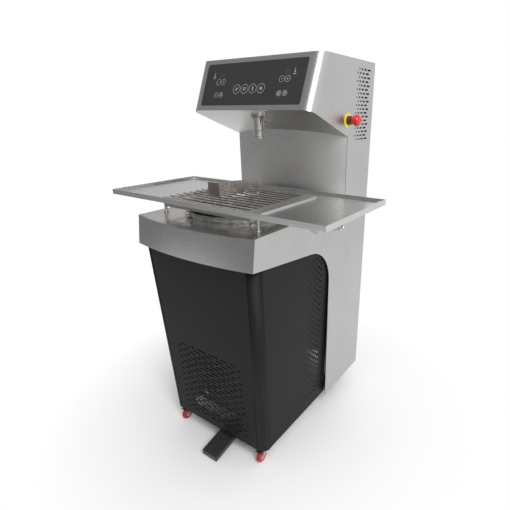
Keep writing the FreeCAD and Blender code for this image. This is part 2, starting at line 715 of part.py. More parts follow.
def caster_fork(x, d, braked):
    """Swivel fork with its race on top and the wheel's axle riveted through."""
    top = FRAME_BOTTOM_Z - PLATE_THICK - SEAM
    race_low = top - RACE_H
    race = pipe(x, d, race_low, top, RACE_R, KINGPIN_R + RUN)
    half = WHEEL_W / 2 + HUB_FLANGE + FORK_GAP
    axle_d = d + CASTER_TRAIL
    cheeks = []
    for side in (-1, 1):
        x0, x1 = sorted((x + side * half, x + side * (half + FORK_SHEET)))
        outline = [(d - RACE_R, top), (d + RACE_R, top), (axle_d + AXLE_R + FORK_SHEET, WHEEL_R),
                   (axle_d, WHEEL_R - AXLE_R - FORK_SHEET), (axle_d - AXLE_R - FORK_SHEET, WHEEL_R)]
        cheeks.append(profile_x(outline, x0, x1))
    axle = rod_x(x - half - FORK_SHEET, x + half + FORK_SHEET, axle_d, WHEEL_R, AXLE_R)
    parts = [race, axle] + cheeks
    if braked:
        reach = half + 2 * FORK_SHEET + SEAM
        parts.append(rod_x(x - reach, x + reach, d + BRAKE_PIN_AHEAD, BRAKE_PIN_Z, BRAKE_PIN_R))
    return joined(parts)


def caster_tyre(x, d):
    """Red tyre with a crowned tread."""
    half = WHEEL_W / 2
    inner = WHEEL_R - TYRE_THICK
    crown = TYRE_THICK / 10.0
    flank = [(WHEEL_R - 5 * crown, half), (WHEEL_R - 2.6 * crown, half - 0.8 * crown),
             (WHEEL_R - crown, half - 2 * crown), (WHEEL_R, half - 4.5 * crown)]
    outline = [(inner, half)] + flank + [(r, -w) for r, w in reversed(flank)] + [(inner, -half)]
    return wheel_ring(outline, x, d)


def caster_hub(x, d):
    """Pressed hub with a bearing boss on each face."""
    half = WHEEL_W / 2
    outer = WHEEL_R - TYRE_THICK - RUN
    bore = AXLE_R + RUN
    web = half / 2
    boss = HUB_BOSS_R
    outline = [(bore, -half - HUB_FLANGE), (boss, -half - HUB_FLANGE), (boss, -web), (outer - 2, -web),
               (outer - 2, -half), (outer, -half), (outer, half), (outer - 2, half), (outer - 2, web),
               (boss, web), (boss, half + HUB_FLANGE), (bore, half + HUB_FLANGE)]
    return wheel_ring(outline, x, d)


def wheel_ring(outline, x, d):
    """Revolve a (radius, offset) outline about a caster's axle."""
    y = back(d + CASTER_TRAIL)
    corners = [V(x + w, y, WHEEL_R + r) for r, w in outline]
    face = Part.Face(Part.makePolygon(corners + corners[:1]))
    return face.revolve(V(x, y, WHEEL_R), ALONG_X, 360)


def brake_lever(x, d):
    """Foot brake, its two ears pivoted on the fork's pin ahead of the race."""
    inner = WHEEL_W / 2 + HUB_FLANGE + FORK_GAP + FORK_SHEET + SEAM
    outer = inner + FORK_SHEET
    z = BRAKE_PIN_Z
    pivot_d = d + BRAKE_PIN_AHEAD
    ear_r = 2.1 * BRAKE_PIN_R
    root_d = d + RACE_R + 3 * BRAKE_PIN_R / 2
    arm_d = root_d + BRAKE_ARM
    tread = [(root_d, z + 5), (arm_d, z), (arm_d + BRAKE_LIP, z + 2), (arm_d + BRAKE_LIP, z - 1),
             (arm_d, z - 3), (root_d, z + 2)]
    parts = [profile_x(tread, x - BRAKE_HALF_W, x + BRAKE_HALF_W)]
    parts.append(box(x - outer, x + outer, root_d, root_d + BRAKE_LIP, z - 1, z + 4))
    for side in (-1, 1):
        x0, x1 = sorted((x + side * inner, x + side * outer))
        parts.append(rod_x(x0, x1, pivot_d, z, ear_r))
        parts.append(box(x0, x1, pivot_d, root_d + BRAKE_LIP, z - 1, z + 4))
    lever = joined(parts)
    return lever.cut(rod_x(x - 2 * outer, x + 2 * outer, pivot_d, z, BRAKE_PIN_R + RUN))


# ---------------------------------------------------------------- tank and stirring drive
def tank():
    """Flat-bottomed round bowl hung in the deck by its flange, with a rolled rim."""
    rim_z = DECK_Z + TANK_COLLAR_H
    hole = SHAFT_R + RUN
    outline = [(hole, TANK_BOTTOM_Z)] + bowl_corner(TANK_WALL)
    outline += [(TANK_R + TANK_WALL, rim_z), (TANK_R, rim_z)]
    outline += reversed(bowl_corner(0.0))
    outline.append((hole, TANK_BOTTOM_Z + TANK_WALL))
    flange = pipe(0, TANK_D, DECK_Z, DECK_Z + DECK_SHEET, TANK_R + TANK_FLANGE, TANK_R)
    turns = [math.radians(22.5 + 45.0 * n) for n in range(8)]
    roll = [(TANK_R + TANK_RIM_R * (1 + math.cos(a)), rim_z + TANK_RIM_R * math.sin(a)) for a in turns]
    bowl = joined([turned(outline, 0, TANK_D), flange, turned(roll, 0, TANK_D), tank_port(TANK_PORT_R, 0.0)])
    bowl = bowl.cut(tank_port(TANK_PORT_BORE, TANK_PORT_BORE))
    return bowl.cut(post(0, TANK_D - OUTLET_BACK, TANK_BOTTOM_Z - SHEET, TANK_BOTTOM_Z + 2 * TANK_WALL,
                         PIPE_R - PIPE_WALL))


def bowl_corner(skin):
    """Points round the bowl's lower corner, on the inner face or a skin outside it."""
    centre_r = TANK_R - TANK_CORNER_R
    centre_z = TANK_BOTTOM_Z + TANK_WALL + TANK_CORNER_R
    radius = TANK_CORNER_R + skin
    angles = [math.pi / 2 * n / TANK_CORNER_STEPS for n in range(TANK_CORNER_STEPS + 1)]
    return [(centre_r + radius * math.sin(a), centre_z - radius * math.cos(a)) for a in angles]


def tank_port(radius, inset):
    """Short radial cylinder through the collar's outer face, from inset outside the wall's middle."""
    reach = math.hypot(TANK_PORT_X, TANK_PORT_AHEAD)
    outward = V(TANK_PORT_X / reach, -TANK_PORT_AHEAD / reach, 0)
    start = V(0, back(TANK_D), DECK_Z + TANK_PORT_UP) + outward * (TANK_R + TANK_WALL / 2 + inset)
    return Part.makeCylinder(radius, 2 * TANK_PORT_R, start, outward)


def transfer_pipe():
    """Heated pipe from the tank's outlet down and back to the foot of the auger."""
    outlet_d = TANK_D - OUTLET_BACK
    bore = PIPE_R - PIPE_WALL
    drop = joined([post(0, outlet_d, TRANSFER_Z, TANK_BOTTOM_Z, PIPE_R),
                   Part.makeSphere(PIPE_R, V(0, back(outlet_d), TRANSFER_Z)),
                   rod_y(0, AUGER_D, outlet_d, TRANSFER_Z, PIPE_R)])
    hollow = joined([post(0, outlet_d, TRANSFER_Z, TANK_BOTTOM_Z, bore),
                     Part.makeSphere(bore, V(0, back(outlet_d), TRANSFER_Z)),
                     rod_y(0, AUGER_D, outlet_d, TRANSFER_Z, bore)])
    tube = drop.cut(hollow)
    return tube.cut(post(0, AUGER_D, AUGER_BOTTOM_Z, AUGER_TOP_Z, AUGER_TUBE_R + SEAM))


def stir_gearmotor():
    """Flange-mounted gearmotor under the tank that turns the paddle."""
    mid_z = TANK_BOTTOM_Z - STIR_MOTOR_H
    case = post(0, TANK_D, mid_z, TANK_BOTTOM_Z, STIR_MOTOR_R)
    body = post(0, TANK_D, mid_z - STIR_BODY_H, mid_z, STIR_BODY_R)
    foot = box(-UPRIGHT_X, UPRIGHT_X, TANK_D - STIR_BODY_R, TANK_D + STIR_BODY_R, mid_z, mid_z + FRAME_TUBE_WALL)
    motor = joined([case, body, foot])
    return motor.cut(post(0, TANK_D, TANK_BOTTOM_Z - STIR_MOTOR_H / 2, TANK_BOTTOM_Z, SHAFT_R + RUN))


def stir_paddle():
    """Anchor stirrer: shaft, floor arm and two upright blades that follow the wall."""
    low = TANK_BOTTOM_Z + TANK_WALL + PADDLE_CLEAR
    reach = TANK_R - PADDLE_CLEAR
    half = PADDLE_THICK / 2
    outer = [(-reach, TANK_BOTTOM_Z + TANK_CORNER_R + PADDLE_CLEAR), (-reach + TANK_CORNER_R, low),
             (reach - TANK_CORNER_R, low), (reach, TANK_BOTTOM_Z + TANK_CORNER_R + PADDLE_CLEAR),
             (reach, PADDLE_TOP_Z), (reach - PADDLE_W, PADDLE_TOP_Z),
             (reach - PADDLE_W, TANK_BOTTOM_Z + TANK_CORNER_R + PADDLE_W),
             (reach - TANK_CORNER_R, low + PADDLE_W), (-reach + TANK_CORNER_R, low + PADDLE_W),
             (-reach + PADDLE_W, TANK_BOTTOM_Z + TANK_CORNER_R + PADDLE_W), (-reach + PADDLE_W, PADDLE_TOP_Z),
             (-reach, PADDLE_TOP_Z)]
    corners = [V(x, back(TANK_D) - half, z) for x, z in outer]
    anchor = Part.Face(Part.makePolygon(corners + corners[:1])).extrude(V(0, PADDLE_THICK, 0))
    hub = post(0, TANK_D, low, low + PADDLE_W * 2, SHAFT_R + PADDLE_THICK)
    shaft = post(0, TANK_D, TANK_BOTTOM_Z - STIR_MOTOR_H / 2 + RUN, low + PADDLE_W, SHAFT_R)
    return joined([anchor, hub, shaft])


# ---------------------------------------------------------------- auger and delivery
def auger_tube():
    """Upright heated tube that the screw lifts chocolate through."""
    bore = AUGER_TUBE_R - AUGER_TUBE_WALL
    tube = pipe(0, AUGER_D, AUGER_BOTTOM_Z, AUGER_TOP_Z, AUGER_TUBE_R, bore)
    floor = pipe(0, AUGER_D, AUGER_BOTTOM_Z, AUGER_BOTTOM_Z + AUGER_TUBE_WALL, bore, AUGER_SHAFT_R + RUN)
    tube = joined([tube, floor])
    port = rod_y(0, AUGER_D, AUGER_D + 2 * AUGER_TUBE_R, TRANSFER_Z, PIPE_R - PIPE_WALL)
    top = rod_y(0, AUGER_D, AUGER_D + 2 * AUGER_TUBE_R, DELIVERY_Z, SPOUT_R - SPOUT_WALL)
    return tube.cut(port).cut(top)


def auger_screw():
    """Helical flight wound on the auger's shaft."""
    low = AUGER_BOTTOM_Z + AUGER_TUBE_WALL + AUGER_CLEAR
    length = AUGER_PITCH * AUGER_TURNS
    outer = AUGER_TUBE_R - AUGER_TUBE_WALL - AUGER_CLEAR
    spine = Part.makeHelix(AUGER_PITCH, length, outer)
    root = AUGER_SHAFT_R - 1.0
    half = FLIGHT_THICK / 2
    corners = [V(root, 0, -half), V(outer, 0, -half), V(outer, 0, half), V(root, 0, half)]
    section = Part.makePolygon(corners + corners[:1])
    sweep = Part.BRepOffsetAPI.MakePipeShell(spine)
    sweep.setAuxiliarySpine(Part.Wire(Part.makeLine(V(0, 0, 0), V(0, 0, length))), True, 0)
    sweep.add(section)
    sweep.build()
    sweep.makeSolid()
    flight = sweep.shape()
    flight.translate(V(0, back(AUGER_D), low + half))
    shaft = post(0, AUGER_D, AUGER_BOTTOM_Z, AUGER_TOP_Z + AUGER_MOTOR_H / 4, AUGER_SHAFT_R)
    return joined([shaft, flight])


def auger_gearmotor():
    """Gearmotor standing on the auger tube inside the head."""
    flange = post(0, AUGER_D, AUGER_TOP_Z, AUGER_TOP_Z + FRAME_TUBE_WALL * 4, AUGER_TUBE_R + UPRIGHT / 2)
    body = post(0, AUGER_D, AUGER_TOP_Z, AUGER_TOP_Z + AUGER_MOTOR_H, AUGER_MOTOR_R)
    motor = joined([flange, body])
    return motor.cut(post(0, AUGER_D, AUGER_TOP_Z, AUGER_TOP_Z + AUGER_MOTOR_H / 3, AUGER_SHAFT_R + RUN))


def spout_low_z():
    """Height of the spout's mouth."""
    return underside_z(SPOUT_D) - SPOUT_DROP


def socket_low_z():
    """Lower end of the delivery pipe's socket, clear of the underside's upper face."""
    return underside_z(SPOUT_D + CLAMP_R) + 2 * SHEET


def delivery_pipe():
    """Pipe from the top of the auger forward and down to a socket over the spout's end."""
    bore = SPOUT_R - SPOUT_WALL
    low = socket_low_z()
    shoulder = low + SOCKET_H - SPOUT_WALL
    runs = [rod_y(0, AUGER_D, SPOUT_D, DELIVERY_Z, SPOUT_R),
            Part.makeSphere(SPOUT_R, V(0, back(SPOUT_D), DELIVERY_Z)),
            post(0, SPOUT_D, low + SOCKET_H / 2, DELIVERY_Z, SPOUT_R),
            post(0, SPOUT_D, low, low + SOCKET_H, SPOUT_R + SEAM + SPOUT_WALL)]
    hollows = [rod_y(0, AUGER_D, SPOUT_D, DELIVERY_Z, bore),
               Part.makeSphere(bore, V(0, back(SPOUT_D), DELIVERY_Z)),
               post(0, SPOUT_D, low, DELIVERY_Z, bore),
               post(0, SPOUT_D, low, shoulder, SPOUT_R + SEAM)]
    tube = joined(runs).cut(joined(hollows))
    return tube.cut(post(0, AUGER_D, AUGER_BOTTOM_Z, AUGER_TOP_Z, AUGER_TUBE_R + SEAM))


def spout():
    """Polished spout down from the socket, with a bead and a thickened mouth."""
    low = spout_low_z()
    top = socket_low_z() + SOCKET_H - SPOUT_WALL - SEAM
    inner = SPOUT_R - SPOUT_WALL
    bead_top = low + SPOUT_BEAD_UP + SPOUT_BEAD_H / 2
    bead_low = bead_top - SPOUT_BEAD_H
    outline = [(inner, top), (SPOUT_R, top), (SPOUT_R, bead_top), (SPOUT_BEAD_R, bead_top - SPOUT_BEVEL),
               (SPOUT_BEAD_R, bead_low + SPOUT_BEVEL), (SPOUT_R, bead_low), (SPOUT_R, low + SPOUT_MOUTH_H),
               (SPOUT_MOUTH_R, low + SPOUT_MOUTH_H - SPOUT_BEVEL), (SPOUT_MOUTH_R, low + SPOUT_BEVEL / 2),
               (SPOUT_MOUTH_R - SPOUT_BEVEL, low), (inner, low)]
    return turned(outline, 0, SPOUT_D)


def lever_top_z():
    """Upper face of the clamp lever's hub, below the clamp ring's lowest point beside it."""
    return underside_z(SPOUT_D - LEVER_HUB_R) - CLAMP_H - 3 * SEAM


def spout_clamp():
    """Clamp ring that follows the underside, with the lever's lug and pin and a small knob."""
    ring = pipe(0, SPOUT_D, spout_low_z(), HEIGHT, CLAMP_R, SPOUT_R + SEAM)
    ring = ring.common(below_underside(-SEAM)).cut(below_underside(-SEAM - CLAMP_H))
    top = lever_top_z()
    lug = box(CLAMP_R - SPOUT_BEVEL, LEVER_X + LEVER_HUB_R, SPOUT_D - LEVER_HUB_R, SPOUT_D + LEVER_HUB_R, top + SEAM,
              HEIGHT).common(below_underside(-2 * SEAM))
    low = top - LEVER_HUB_H - SEAM
    pin = post(LEVER_X, SPOUT_D, low - SPOUT_BEVEL, top + SPOUT_BEVEL, LEVER_PIN_R)
    rivet = post(LEVER_X, SPOUT_D, low - SPOUT_BEVEL, low, LEVER_PIN_R * 1.6)
    knob_d = SPOUT_D + CLAMP_KNOB_AHEAD
    hang = 2 * SEAM + CLAMP_KNOB_R * math.hypot(1.0, UNDER_SLOPE)
    knob_at = V(CLAMP_KNOB_X, back(knob_d), underside_z(knob_d) - hang)
    knob = ball(knob_at, CLAMP_KNOB_R)
    neck_d = SPOUT_D + SPOUT_R + SPOUT_BEVEL
    neck_at = V(0, back(neck_d), underside_z(neck_d) - hang)
    neck = Part.makeCylinder(LEVER_ARM_R, (knob_at - neck_at).Length, neck_at, knob_at - neck_at)
    return joined([ring, lug, pin, rivet, knob, neck])


def clamp_lever():
    """Clamp lever on the lug's pin: hub, thin falling arm and a teardrop knob."""
    top = lever_top_z()
    hub = post(LEVER_X, SPOUT_D, top - LEVER_HUB_H, top, LEVER_HUB_R)
    corners = [V(x, 0, r) for x, r in LEVER_OUTLINE]
    outline = [V(0, 0, 0)] + corners + [V(LEVER_OUTLINE[-1][0], 0, 0), V(0, 0, 0)]
    arm = Part.Face(Part.makePolygon(outline)).revolve(V(0, 0, 0), ALONG_X, 360)
    arm.rotate(V(0, 0, 0), V(0, 1, 0), LEVER_TILT)
    arm.translate(V(LEVER_X, back(SPOUT_D), top - LEVER_HUB_H / 2))
    lever = joined([hub, arm])
    return lever.cut(post(LEVER_X, SPOUT_D, top - 2 * LEVER_HUB_H, top + LEVER_HUB_H, LEVER_PIN_R + RUN))


# ---------------------------------------------------------------- stop button
def stop_plate():
    """Round yellow plate under the stop button."""
    return rod_x(HALF_W, HALF_W + STOP_PLATE_T, STOP_D, STOP_Z, STOP_PLATE_R)


def stop_collar():
    """Black collar of the stop button, screwed through the side panel."""
    x0 = HALF_W + STOP_PLATE_T
    collar = rod_x(x0, x0 + STOP_COLLAR_L, STOP_D, STOP_Z, STOP_COLLAR_R)
    return collar.cut(rod_x(x0 + 2, x0 + 2 * STOP_COLLAR_L, STOP_D, STOP_Z, STOP_STEM_R + RUN))


def stop_button():
    """Red mushroom head and its stem."""
    x0 = HALF_W + STOP_PLATE_T + 2 + STOP_TRAVEL + 1.0
    x1 = HALF_W + STOP_REACH
    face = x0 + STOP_COLLAR_L
    outline = [(0, x0), (STOP_STEM_R, x0), (STOP_STEM_R, face), (STOP_HEAD_R - 5, face + 2),
               (STOP_HEAD_R, face + 12), (STOP_HEAD_R, x1 - 7), (STOP_HEAD_R - 3, x1 - 3),
               (STOP_HEAD_R - 8, x1), (0, x1)]
    corners = [V(x, back(STOP_D), STOP_Z + r) for r, x in outline]
    face_shape = Part.Face(Part.makePolygon(corners + corners[:1]))
    return face_shape.revolve(V(0, back(STOP_D), STOP_Z), ALONG_X, 360)


# ---------------------------------------------------------------- vibrating table
def table_tray():
    """Folded tray with two shelves, a stepped rim, a skirt and the grille window."""
    z1 = TABLE_RIM_Z
    skirt_z = z1 - TABLE_SKIRT
    half = TABLE_HALF_W

    def block(inset, z_low, z_high):
        return box(-half + inset, half - inset, TABLE_BACK_D + inset, TABLE_FRONT_D - inset, z_low, z_high)

    tray = block(0.0, skirt_z, z1)
    tray = tray.cut(block(TABLE_LIP, z1 - TABLE_LEDGE_DROP, z1))
    tray = tray.cut(block(TABLE_LIP + TABLE_LEDGE, TABLE_FLOOR_Z, z1))
    tray = tray.cut(block(TABLE_SHEET, skirt_z, TABLE_FLOOR_Z - TABLE_SHEET))
    tray = tray.cut(box(WINDOW_LEFT, WINDOW_RIGHT, WINDOW_BACK_D, WINDOW_FRONT_D, skirt_z, z1))
    tray = tray.cut(box(WINDOW_RIGHT, WINDOW_RIGHT + BAR_W, WINDOW_BACK_D, WINDOW_FRONT_D,
                        TABLE_FLOOR_Z - BAR_SEAT, TABLE_FLOOR_Z))
    lobe = rod_y(LOBE_X, TABLE_FRONT_D - TABLE_SHEET, TABLE_FRONT_D, LOBE_LOW_Z + LOBE_R, LOBE_R)
    lobe = lobe.common(box(LOBE_X - LOBE_R, LOBE_X + LOBE_R, TABLE_BACK_D, TABLE_FRONT_D, 0.0, skirt_z + TABLE_SHEET))
    tray = joined([tray, lobe, lock_bracket()])
    notch = rod_y(NOTCH_X, TABLE_FRONT_D - 2 * TABLE_SHEET, TABLE_FRONT_D + TABLE_SHEET, NOTCH_TOP_Z - NOTCH_R,
                  NOTCH_R)
    return tray.cut(notch)


def lock_axis_z():
    """Height of the locking screw below the shelf."""
    return TABLE_RIM_Z - TABLE_SKIRT - LOCK_DROP


def lock_bracket():
    """Block under the right shelf that the locking screw turns in."""
    z = lock_axis_z()
    x1 = LOCK_X - LOCK_BAR_R - SEAM
    block = box(x1 - LOCK_BLOCK, x1, LOCK_D - LOCK_BLOCK / 2, LOCK_D + LOCK_BLOCK / 2, z - LOCK_BALL_R,
                TABLE_FLOOR_Z - TABLE_SHEET / 2)
    return block.cut(rod_x(x1 - 2 * LOCK_BLOCK, x1 + LOCK_BLOCK, LOCK_D, z, LOCK_ROD_R + RUN))


def tapping_bar():
    """Flat bar let into the tray beside the grille, level with the rim's ledge."""
    return box(WINDOW_RIGHT, WINDOW_RIGHT + BAR_W, WINDOW_BACK_D, WINDOW_FRONT_D, TABLE_FLOOR_Z - BAR_SEAT,
               TABLE_RIM_Z - TABLE_LEDGE_DROP)


def table_subframe():
    """Folded channel ring under the tray, with four ears for the springs."""
    top = TABLE_FLOOR_Z - TABLE_SHEET
    half = SUBFRAME_HALF_W
    wall = TABLE_SHEET
    low = SUBFRAME_LOW_Z
    inner = SUBFRAME_FLANGE
    ring = box(-half, half, SUBFRAME_BACK_D, SUBFRAME_FRONT_D, low, top)
    ring = ring.cut(box(-half + wall, half - wall, SUBFRAME_BACK_D + wall, SUBFRAME_FRONT_D - wall, low + wall, top))
    ring = ring.cut(box(-half + inner, half - inner, SUBFRAME_BACK_D + 2 * inner, SUBFRAME_FRONT_D - inner, low,
                        top))
    ring = ring.cut(box(WINDOW_LEFT, WINDOW_LEFT + 2 * inner, WINDOW_BACK_D, WINDOW_FRONT_D,
                        grille_rod_z() - ROD_R - GRILLE_CLEAR, top))
    parts = [ring]
    reach = SPRING_X + EAR_SIDE / 2
    for side in (-1, 1):
        x0, x1 = sorted((side * half, side * reach))
        t0, t1 = sorted((side * reach, side * (reach - wall)))
        for depth in (SPRING_BACK_D, SPRING_FRONT_D):
            d0, d1 = depth - EAR_SIDE / 2, depth + EAR_SIDE / 2
            parts.append(box(x0, x1, d0, d1, EAR_TOP_Z - EAR_THICK, EAR_TOP_Z))
            parts.append(box(t0, t1, d0, d1, EAR_TOP_Z, top))
    frame = joined(parts)
    holes = [post(x, depth, DECK_Z, EAR_TOP_Z + SHEET, POST_R + SEAM) for x, depth in spring_places()]
    return frame.cut(Part.makeCompound(holes))


def spring_places():
    """Plan positions (x, depth) of the four table springs."""
    return [(side * SPRING_X, depth) for side in (-1, 1) for depth in (SPRING_BACK_D, SPRING_FRONT_D)]


def spring_posts():
    """Four guide posts screwed to the deck."""
    posts = []
    for x, depth in spring_places():
        foot = post(x, depth, DECK_Z, DECK_Z + POST_FOOT_H, POST_FOOT_R)
        stem = post(x, depth, DECK_Z, EAR_TOP_Z, POST_R)
        posts.append(joined([foot, stem]))
    return Part.makeCompound(posts)


def table_springs():
    """Four coil springs of square wire between the deck posts' feet and the ears."""
    z0 = DECK_Z + POST_FOOT_H + RUN
    z1 = EAR_TOP_Z - EAR_THICK - RUN
    wire = SPRING_WIRE
    pitch = (z1 - z0 - wire) / SPRING_TURNS
    outer = SPRING_R
    corners = [V(outer - wire, 0, 0), V(outer, 0, 0), V(outer, 0, wire), V(outer - wire, 0, wire)]
    coil = swept_helix(corners, pitch, pitch * SPRING_TURNS, outer)
    coils = []
    for x, depth in spring_places():
        copy = coil.copy()
        copy.translate(V(x, back(depth), z0))
        coils.append(copy)
    return Part.makeCompound(coils)


def swept_helix(corners, pitch, height, radius):
    """Solid swept by a polygon section along an upright helix at the origin."""
    spine = Part.Wire(Part.makeHelix(pitch, height, radius).Edges)
    sweep = Part.BRepOffsetAPI.MakePipeShell(spine)
    sweep.setFrenetMode(True)
    sweep.add(Part.makePolygon(corners + corners[:1]))
    sweep.build()
    sweep.makeSolid()
    return sweep.shape()


def grille_rod_z():
    """Height of the grille rods' axes: their tops are level with the rim's ledge."""
    return TABLE_RIM_Z - TABLE_LEDGE_DROP - ROD_R


def grille():
    """Lift-out grille: a row of rods welded into two rails that stand on the sub-frame."""
    x0 = WINDOW_LEFT + GRILLE_CLEAR
    x1 = WINDOW_RIGHT - GRILLE_CLEAR
    d0 = WINDOW_BACK_D + GRILLE_CLEAR
    d1 = WINDOW_FRONT_D - GRILLE_CLEAR - ROD_R
    z0 = SUBFRAME_LOW_Z + TABLE_SHEET
    rod_z = grille_rod_z()
    rail_x = x1
    parts = []
    for side in (-1, 1):
        a, b = sorted((side * rail_x, side * (rail_x - GRILLE_RAIL)))
        parts.append(box(a, b, d0, d1 - ROD_R, z0, rod_z))
    first = d0 + ROD_R
    span = (d1 - 2 * ROD_R - first) / (ROD_COUNT - 1)
    for n in range(ROD_COUNT):
        parts.append(rod_x(x0, x1, first + n * span, rod_z, ROD_R))
    return joined(parts)


def table_vibrator():
    """Small vibration motor in the rear channel of the sub-frame, under the tray."""
    depth = SUBFRAME_BACK_D + SUBFRAME_FLANGE
    top = TABLE_FLOOR_Z - TABLE_SHEET
    z = top - VIBRATOR_R - SEAM
    body = rod_x(-VIBRATOR_L / 2, VIBRATOR_L / 2, depth, z, VIBRATOR_R)
    foot = box(-VIBRATOR_L / 3, VIBRATOR_L / 3, depth - VIBRATOR_R, depth + VIBRATOR_R, top - VIBRATOR_R / 2, top)
    return joined([body, foot])


def scraper():
    """Bent scraping plate on three feet, standing across the rods."""
    z0 = TABLE_RIM_Z - TABLE_LEDGE_DROP + SEAM
    wings = []
    for start, end, notch in zip(SCRAPER_PLAN[:-1], SCRAPER_PLAN[1:], SCRAPER_NOTCHES):
        wings.append(scraper_wing(start, end, notch, z0))
    return joined(wings)


def scraper_wing(start, end, notch, z0):
    """One flat wing between two (x, depth) points, its foot notched over a share of its length."""
    length = math.hypot(end[0] - start[0], end[1] - start[1])
    half = SCRAPER_THICK / 2
    wing = Part.makeBox(length, SCRAPER_THICK, SCRAPER_H, V(0, -half, 0))
    ends = [Part.makeCylinder(half, SCRAPER_H, V(x, 0, 0), UP) for x in (0, length)]
    wing = joined([wing] + ends)
    if notch[1] > notch[0]:
        span = (notch[1] - notch[0]) * length
        wing = wing.cut(Part.makeBox(span, 2 * SCRAPER_THICK, SCRAPER_FOOT_H, V(notch[0] * length, -SCRAPER_THICK, 0)))
    wing.rotate(V(0, 0, 0), UP, math.degrees(math.atan2(start[1] - end[1], end[0] - start[0])))
    wing.translate(V(start[0], back(start[1]), z0))
    return wing


def table_lock():
    """Locking screw under the right shelf: rod, slanting bar and a ball on a rear arm."""
    z = lock_axis_z()
    centre = V(LOCK_X, back(LOCK_D), z)
    rod = rod_x(LOCK_X - LOCK_BAR, LOCK_X + LOCK_BALL_R, LOCK_D, z, LOCK_ROD_R)
    bar = Part.makeCylinder(LOCK_BAR_R, LOCK_BAR, V(LOCK_X, back(LOCK_D), z - LOCK_BAR / 2), UP)
    bar.rotate(centre, ALONG_X, LOCK_TILT)
    ball_x = LOCK_X + LOCK_BALL_R
    arm = rod_y(ball_x, LOCK_D - LOCK_BALL_REACH, LOCK_D, z, LOCK_ROD_R / 2)
    knob = ball(V(ball_x, back(LOCK_D - LOCK_BALL_REACH), z), LOCK_BALL_R)
    return joined([rod, bar, arm, knob])


# ---------------------------------------------------------------- pedal
def pedal_profile(drop, d0, d1):
    """Four (depth, height) corners of a strip along the pedal's sloping top."""
    slope = (PEDAL_REAR_Z - PEDAL_TIP_Z) / (PEDAL_TIP_D - PEDAL_PIVOT_D)

    def top(d):
        return PEDAL_TIP_Z + (PEDAL_TIP_D - d) * slope

    return [(d0, top(d0)), (d1, top(d1)), (d1, top(d1) - drop), (d0, top(d0) - drop)]


def foot_pedal():
    """Folded pedal: sloping tread with side flanks and a turned-down front edge."""
    half = PEDAL_W / 2
    rear = PEDAL_PIVOT_D - PEDAL_FLANK / 2
    tread = profile_x(pedal_profile(PEDAL_SHEET, rear, PEDAL_TIP_D), PEDAL_X - half, PEDAL_X + half)
    front = profile_x(pedal_profile(PEDAL_FLANK, PEDAL_TIP_D - PEDAL_SHEET, PEDAL_TIP_D), PEDAL_X - half,
                      PEDAL_X + half)
    parts = [tread, front]
    for side in (-1, 1):
        x0, x1 = sorted((PEDAL_X + side * half, PEDAL_X + side * (half - PEDAL_SHEET)))
        parts.append(profile_x(pedal_profile(PEDAL_FLANK, rear, PEDAL_TIP_D), x0, x1))
    pedal = joined(parts)
    nose = pedal.common(box(PEDAL_X - PEDAL_W, PEDAL_X + PEDAL_W, rear, PEDAL_TIP_D, 0.0, 2 * PEDAL_REAR_Z))
    corners = [e for e in nose.Edges if e.BoundBox.DiagonalLength < 2 * PEDAL_FLANK
               and e.BoundBox.YLength < RUN and e.BoundBox.XLength < RUN
               and e.BoundBox.YMin < back(PEDAL_TIP_D) + RUN
               and abs(abs(e.BoundBox.Center.x - PEDAL_X) - half) < RUN]
    pedal = nose.makeFillet(PEDAL_SHEET * 0.7, corners)
    return pedal.cut(pedal_pin_hole())


def pedal_pin_z():
    return PEDAL_REAR_Z - PEDAL_FLANK / 2


def pedal_pin_hole():
    return rod_x(PEDAL_X - PEDAL_W, PEDAL_X + PEDAL_W, PEDAL_PIVOT_D, pedal_pin_z(), PEDAL_PIN_R + RUN)


def pedal_bracket():
    """Two ears under the base frame's cross member, with the riveted hinge pin."""
    half = PEDAL_W / 2 + SEAM
    wall = PEDAL_SHEET
    d0 = PEDAL_PIVOT_D - FRAME_TUBE_W / 2
    d1 = d0 + FRAME_TUBE_W
    z = pedal_pin_z()
    z0 = z - PEDAL_PIN_R - wall
    z1 = FRAME_TOP_Z - FRAME_TUBE_WALL
    parts = [box(PEDAL_X - half, PEDAL_X + half, d0, d1, z1 - wall, z1)]
    for side in (-1, 1):
        x0, x1 = sorted((PEDAL_X + side * half, PEDAL_X + side * (half + wall)))
        parts.append(box(x0, x1, d0, d1, z0, z1))
    reach = half + 2 * wall
    parts.append(rod_x(PEDAL_X - reach, PEDAL_X + reach, PEDAL_PIVOT_D, z, PEDAL_PIN_R))
    return joined(parts)


# ---------------------------------------------------------------- refrigeration and power
def compressor():
    """Hermetic compressor on its foot plate."""
    z0 = FRAME_TOP_Z
    can = post(COMPRESSOR_X, COMPRESSOR_D, z0 + 6, z0 + COMPRESSOR_H, COMPRESSOR_R)
    can = can.makeChamfer(COMPRESSOR_R / 3, [e for e in can.Edges if e.BoundBox.ZLength < SEAM])
    foot = box(COMPRESSOR_X - COMPRESSOR_R, COMPRESSOR_X + COMPRESSOR_R, COMPRESSOR_D - COMPRESSOR_R,
               COMPRESSOR_D + COMPRESSOR_R, z0, z0 + 8)
    return joined([can, foot])


def condenser():
    """Finned block behind the cabinet's front perforations."""
    z0 = FRAME_TOP_Z + SEAM
    x1 = CONDENSER_W / 2
    block = box(-x1, x1, CONDENSER_D, CONDENSER_D + CONDENSER_T, z0, z0 + CONDENSER_H)
    fins = [box(-x1 + 8 + n * 12, -x1 + 14 + n * 12, CONDENSER_D + CONDENSER_T - 6, CONDENSER_D + CONDENSER_T + 1,
                z0 + 12, z0 + CONDENSER_H - 12) for n in range(int((CONDENSER_W - 16) / 12))]
    return block.cut(Part.makeCompound(fins))


